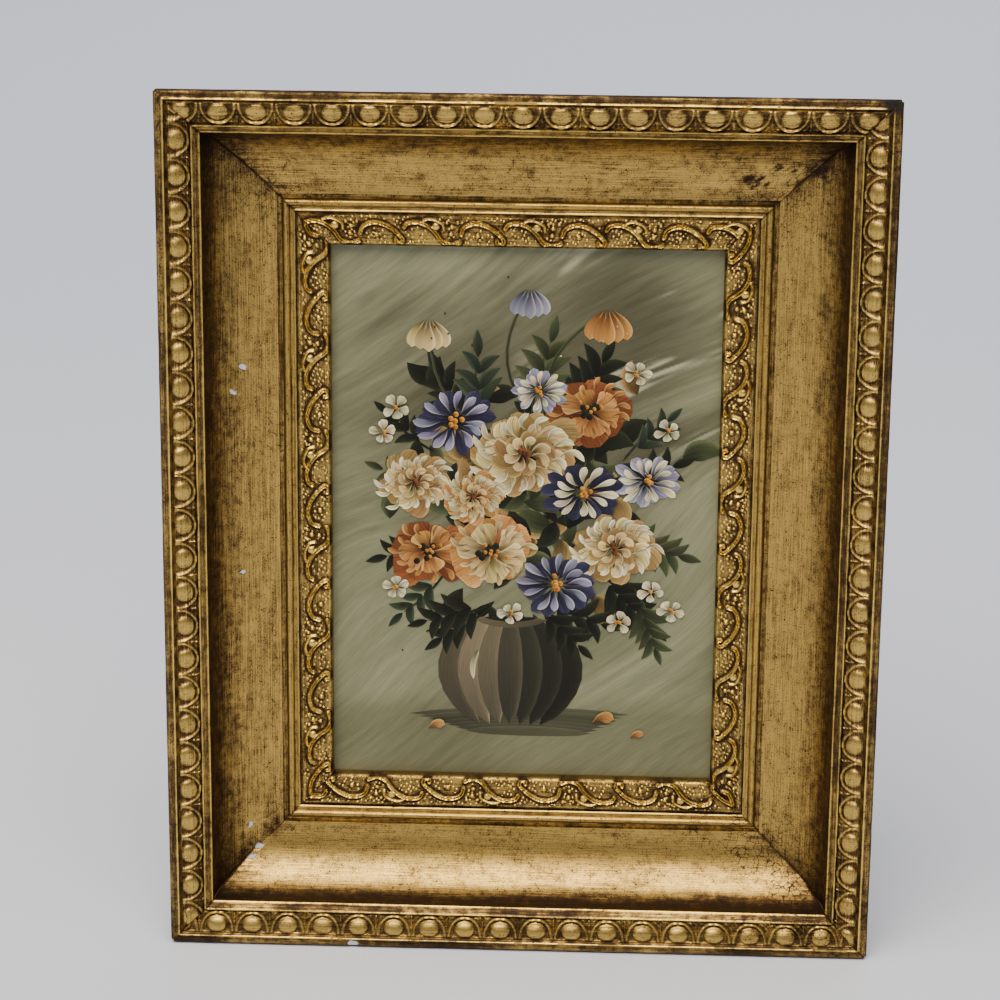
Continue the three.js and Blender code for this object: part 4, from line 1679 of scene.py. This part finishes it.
    def build(self, middle: Vector, front: float, finish: bpy.types.Material) -> bpy.types.Object:
        """Makes the paint as one thin skin.

        Args:
            middle: the painting's middle; its x and z are used, in metres.
            front: y of the panel's face, in metres.
            finish: the oil paint.

        Returns:
            The paint.
        """
        layers = [self.ground(), self.draw().marks(self.stations, self.across)]
        points, colour, place, strength = (np.vstack(parts) for parts in zip(*layers))
        under, each = self.rows * self.columns, self.stations * self.across
        lift = points[:, 2] + self.ground_lift
        lift[under:] += self.mark_lift
        x, z = middle.x + points[:, 0] * MM, middle.z + points[:, 1] * MM
        vertices = np.stack([x, front - lift * MM, z], 1)
        starts = np.arange(under, len(vertices), each)[:, None, None]
        marks = (grid_faces(self.stations, self.across)[None] + starts).reshape(-1, 4)
        faces = np.vstack([grid_faces(self.rows, self.columns), marks])
        made = mesh_object("paint_layer", vertices, faces.tolist())
        made.data.materials.append(finish)
        paint = np.column_stack([np.clip(colour, 0, 1), np.ones(len(colour))])
        set_attribute(made, "paint", "FLOAT_COLOR", paint)
        set_attribute(made, "stroke", "FLOAT_VECTOR", place * MM)
        set_attribute(made, "bristle", "FLOAT", strength)
        return made


# Board and fixings


def circle(radius: float, count: int = 28) -> np.ndarray:
    """Points round a circle as (x, z)."""
    angle = np.linspace(0, 2 * math.pi, count, endpoint=False)
    return np.stack([radius * np.cos(angle), radius * np.sin(angle)], 1)


@dataclass(frozen=True)
class Board:
    """The thin hardboard panel, its edges slightly eased. Sizes in millimetres."""

    easing: float = 0.3

    def build(self, low: Vector, high: Vector, finish: bpy.types.Material) -> bpy.types.Object:
        """Makes the board from rings: a rectangle with cut corners, drawn in a little at both ends.

        Args:
            low: its lowest corner, in metres.
            high: its highest corner.
            finish: the hardboard.

        Returns:
            The board.
        """
        ease = self.easing * MM
        half_x, half_z = (high.x - low.x) / 2, (high.z - low.z) / 2
        corner = np.array([(1, 1 - ease / half_z), (1 - ease / half_x, 1)])
        turns = [corner, corner[::-1] * (-1, 1), corner * (-1, -1), corner[::-1] * (1, -1)]
        outline = np.vstack(turns) * (half_x, half_z)
        rings = []
        for y, inset in ((low.y, ease), (low.y + ease, 0), (high.y - ease, 0), (high.y, ease)):
            x, z = (outline * (1 - inset / half_x)).T
            x, z = x + (low.x + high.x) / 2, z + (low.z + high.z) / 2
            rings.append(np.column_stack([x, np.full(len(x), y), z]))
        made = ring_solid("hardboard_panel", np.array(rings))
        made.data.materials.append(finish)
        return made


@dataclass(frozen=True)
class Nail:
    """A small nail with a domed head. Sizes in millimetres."""

    radius: float = 0.7
    head_radius: float = 1.7
    head_height: float = 0.8
    tip: float = 0.05
    head_edge: float = 0.12

    def build(self, name: str, low: Vector, high: Vector, finish: bpy.types.Material) -> bpy.types.Object:
        """Turns the nail about its own axis, which runs along y, point first.

        Args:
            name: the nail's name.
            low: its lowest corner, in metres.
            high: its highest corner.
            finish: its metal.

        Returns:
            The nail.
        """
        dome = np.radians([90, 72, 54, 36, 18])
        point, crown = low.y / MM, high.y / MM
        under = crown - self.head_height
        cap_radii = self.head_radius * np.sin(dome)
        radii = [self.tip, self.radius, self.radius, self.head_radius, *cap_radii, self.tip]
        cap = under + self.head_height * np.cos(dome)
        cap[0] += self.head_edge
        places = [point, point + 2 * self.radius, under, under, *cap, crown]
        middle = (low + high) / 2
        rings = []
        for radius, y in zip(radii, places):
            x, z = circle(radius).T
            rings.append(np.column_stack([x * MM + middle.x, np.full(len(x), y * MM), z * MM + middle.z]))
        made = ring_solid(name, np.array(rings))
        made.data.materials.append(finish)
        return made


@dataclass(frozen=True)
class Hanger:
    """The stamped strip: ears flat on the wood, the middle raised, notches below. Sizes in millimetres."""

    ear: float = 8.0
    ramp: float = 2.5
    thickness: float = 0.8
    tooth_pitch: float = 3.0
    tooth_depth: float = 1.6
    tooth_count: int = 7
    easing: float = 0.15
    stations: int = 241

    def build(self, low: Vector, high: Vector, finish: bpy.types.Material) -> bpy.types.Object:
        """Makes the strip from rings across it, one at each station along its length.

        Between ear and middle the strip rises by the cubic step. The lower edge rises in the notches by
        tooth_depth (1 - 2 |u|), with u the distance from the notch's peak in tooth pitches.

        Args:
            low: its lowest corner, in metres.
            high: its highest corner.
            finish: its metal.

        Returns:
            The hanger.
        """
        half = (high.x - low.x) / 2 / MM
        x = np.linspace(-half, half, self.stations)
        raised = smooth_step(half - self.ear, half - self.ear - self.ramp, np.abs(x))
        rise = (high.y - low.y) / MM - self.thickness
        near = low.y / MM + rise * raised
        u = np.abs(np.mod(x / self.tooth_pitch + 0.5, 1) - 0.5)
        notched = np.abs(x) < self.tooth_pitch * self.tooth_count / 2
        bottom = low.z / MM + self.tooth_depth * (1 - 2 * u) * notched
        top = np.full(x.shape, high.z / MM)
        far, ease = near + self.thickness, self.easing
        corners = (
            (near, bottom + ease), (near + ease, bottom), (far - ease, bottom), (far, bottom + ease),
            (far, top - ease), (far - ease, top), (near + ease, top), (near, top - ease),
        )
        middle = (low.x + high.x) / 2
        rings = np.stack([np.column_stack([x * MM + middle, y * MM, z * MM]) for y, z in corners], 1)
        made = ring_solid("stamped_hanger", rings)
        made.data.materials.append(finish)
        return made


# Camera, light and floor


@dataclass(frozen=True)
class Lamp:
    """One soft lamp: its place, the point that it faces, its width and height (metres) and its watts."""

    name: str
    place: tuple
    aim: tuple
    size: tuple
    power: float
    colour: str

    def build(self) -> None:
        """Adds the lamp to the scene."""
        data = bpy.data.lights.new(self.name, "AREA")
        data.shape = "RECTANGLE"
        data.size, data.size_y = self.size
        data.energy = self.power
        data.color = linear(self.colour)[:3]
        lamp = bpy.data.objects.new(self.name, data)
        lamp.location = self.place
        lamp.rotation_euler = (Vector(self.aim) - Vector(self.place)).to_track_quat("-Z", "Y").to_euler()
        bpy.context.scene.collection.objects.link(lamp)


@dataclass(frozen=True)
class Studio:
    """The camera, the soft light and the pale floor that the picture stands on. Sizes in millimetres."""

    camera_offset: tuple = (27.6, -902.2, 272.0)
    camera_turn: tuple = (73.957, -0.505, 2.324)
    lens: float = 111.95
    sensor: float = 36.0
    floor_gap: float = 0.3
    floor_reach: float = 12000.0
    paper: str = "#d1d6e3"
    paper_roughness: float = 0.9
    sun_strength: float = 2.7
    sun_spread: float = 75.0
    sun_turn: tuple = (28.0, -8.0, 0.0)
    sun_colour: str = "#fffbf4"
    lamps: tuple = (
        Lamp("window", (-0.15, -0.75, 0.95), (0.0, 0.0, -0.12), (0.9, 1.1), 19.0, "#fff0d6"),
        Lamp("far_window", (0.3, 2.4, 1.8), (0.0, 2.4, 0.0), (3.0, 1.5), 26.0, "#ffffff"),
    )
    sky: str = "#c4c8d6"
    sky_strength: float = 0.3

    def add_camera(self, rim_middle: Vector) -> None:
        """Puts the camera where the photograph was taken from.

        Args:
            rim_middle: the middle of the frame, in the plane of its rim, in metres.
        """
        data = bpy.data.cameras.new("camera")
        data.lens, data.sensor_width = self.lens, self.sensor
        camera = bpy.data.objects.new("camera", data)
        camera.location = rim_middle + Vector(self.camera_offset) * MM
        camera.rotation_euler = Euler([math.radians(angle) for angle in self.camera_turn], "XYZ")
        bpy.context.scene.collection.objects.link(camera)
        bpy.context.scene.camera = camera

    def add_floor(self, low: Vector) -> None:
        """Makes a broad plain floor just under the picture, which fills the background of the view.

        Args:
            low: the object's lowest corner, in metres.
        """
        reach, level = self.floor_reach * MM, low.z - self.floor_gap * MM
        spots = [(x * reach, y * reach, level) for x, y in ((-1, -1), (1, -1), (1, 1), (-1, 1))]
        floor = mesh_object("pale_floor", np.array(spots), [(0, 1, 2, 3)], smooth=False)
        material, tree, shader = new_material("matt_white_board")
        feed(tree, shader, {"Base Color": linear(self.paper), "Roughness": self.paper_roughness})
        floor.data.materials.append(material)

    def add_light(self) -> None:
        """Adds a broad soft sun nearly overhead, a lamp above the picture and an even dim surrounding."""
        data = bpy.data.lights.new("ceiling_light", "SUN")
        data.energy, data.angle = self.sun_strength, math.radians(self.sun_spread)
        data.color = linear(self.sun_colour)[:3]
        sun = bpy.data.objects.new("ceiling_light", data)
        sun.rotation_euler = Euler([math.radians(angle) for angle in self.sun_turn], "XYZ")
        bpy.context.scene.collection.objects.link(sun)
        for lamp in self.lamps:
            lamp.build()
        world = bpy.data.worlds.new("surroundings")
        world.use_nodes = True
        bright = world.node_tree.nodes["Background"]
        bright.inputs["Color"].default_value = linear(self.sky)
        bright.inputs["Strength"].default_value = self.sky_strength
        bpy.context.scene.world = world


# Putting it together


def corners(node: str) -> tuple[Vector, Vector]:
    """The lowest and the highest corner of a CAD node, in metres."""
    low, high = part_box(node)
    return Vector(low), Vector(high)


def seat(made: bpy.types.Object, node: str) -> None:
    """Puts a piece in its CAD node's place: it rides the one body, the node is hidden and the piece is
    reported.
    """
    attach(made, "root")
    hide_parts(node)
    log.info("%s: %d faces", made.name, len(made.data.polygons))


def dress(node_object: bpy.types.Object, finish: bpy.types.Material) -> None:
    """Gives a CAD object that stays in view its material."""
    for socket in node_object.material_slots:
        socket.material = finish
    if not node_object.material_slots:
        node_object.data.materials.append(finish)
    log.info("%s: kept from the CAD model", node_object.name)


def main() -> None:
    """Builds every piece in order and reports each one."""
    logging.basicConfig(level=logging.INFO, format="%(name)s: %(message)s")
    rails = [
        # The bottom rail's cove carries the strongest painted shade.
        Rail(Side.BOTTOM, egg_pitch=11.2, egg_shift=5.7, scroll_shift=-1.3, mottling=0.12, edge_toning_and_shade=0.36,
             cove_shade_steps=((0.85, 0.4, 0.12),), cove_raggedness=0.5, mitre_crackle=1.0, crackle_from=(-90, 20)),
        Rail(Side.RIGHT, egg_pitch=10.75, egg_shift=0.0, scroll_shift=-10.1, edge_toning_and_shade=0.2,
             arris_toning=0.35),
        Rail(Side.TOP, egg_pitch=11.2, egg_shift=1.1, scroll_shift=6.4, mottling=0.2, edge_toning_and_shade=0.2,
             arris_toning=0.55),
        Rail(Side.LEFT, egg_pitch=10.75, egg_shift=-2.1, scroll_shift=-10.3, edge_toning_and_shade=0.14,
             cove_toning=0.05),
    ]
    low, high = corners("rail_bottom")[0], corners("rail_top")[1]
    middle = np.array([(low.x + high.x) / 2, (low.z + high.z) / 2])
    half_size = np.array([(high.x - low.x) / 2, (high.z - low.z) / 2])
    back = high.y
    gilding, wood = AgedGilding().build(), BareWood().build()
    for rail in rails:
        made = rail.build(middle, half_size, back, [gilding, wood])
        seat(made, rail.node)

    board_low, board_high = corners("painted_panel")
    paint = Painting().build((board_low + board_high) / 2, board_low.y, OilPaint().build())
    board = Board().build(board_low, board_high, Hardboard().build())
    for made in (paint, board):
        seat(made, "painted_panel")

    brass = RolledMetal("brass_plated_steel", "#b8a062", "#77633a", 0.28).build()
    seat(Hanger().build(*corners("sawtooth_hanger"), brass), "sawtooth_hanger")
    for node in ("hanger_nail_1", "hanger_nail_2"):
        seat(Nail().build(node + "_turned", *corners(node), brass), node)
    steel = RolledMetal("rolled_steel", "#9a9b9e", "#5f5a52", 0.35).build()
    for side in Side:
        for number in (1, 2):
            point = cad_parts[f"framing_point_{side.name.lower()}_{number}"]
            dress(point, steel)

    studio = Studio()
    rim = Vector((middle[0], back - Moulding().depth * MM, middle[1]))
    studio.add_camera(rim)
    studio.add_floor(Vector(CAD_BOX[0]))
    studio.add_light()


if __name__ == "__main__":
    main()
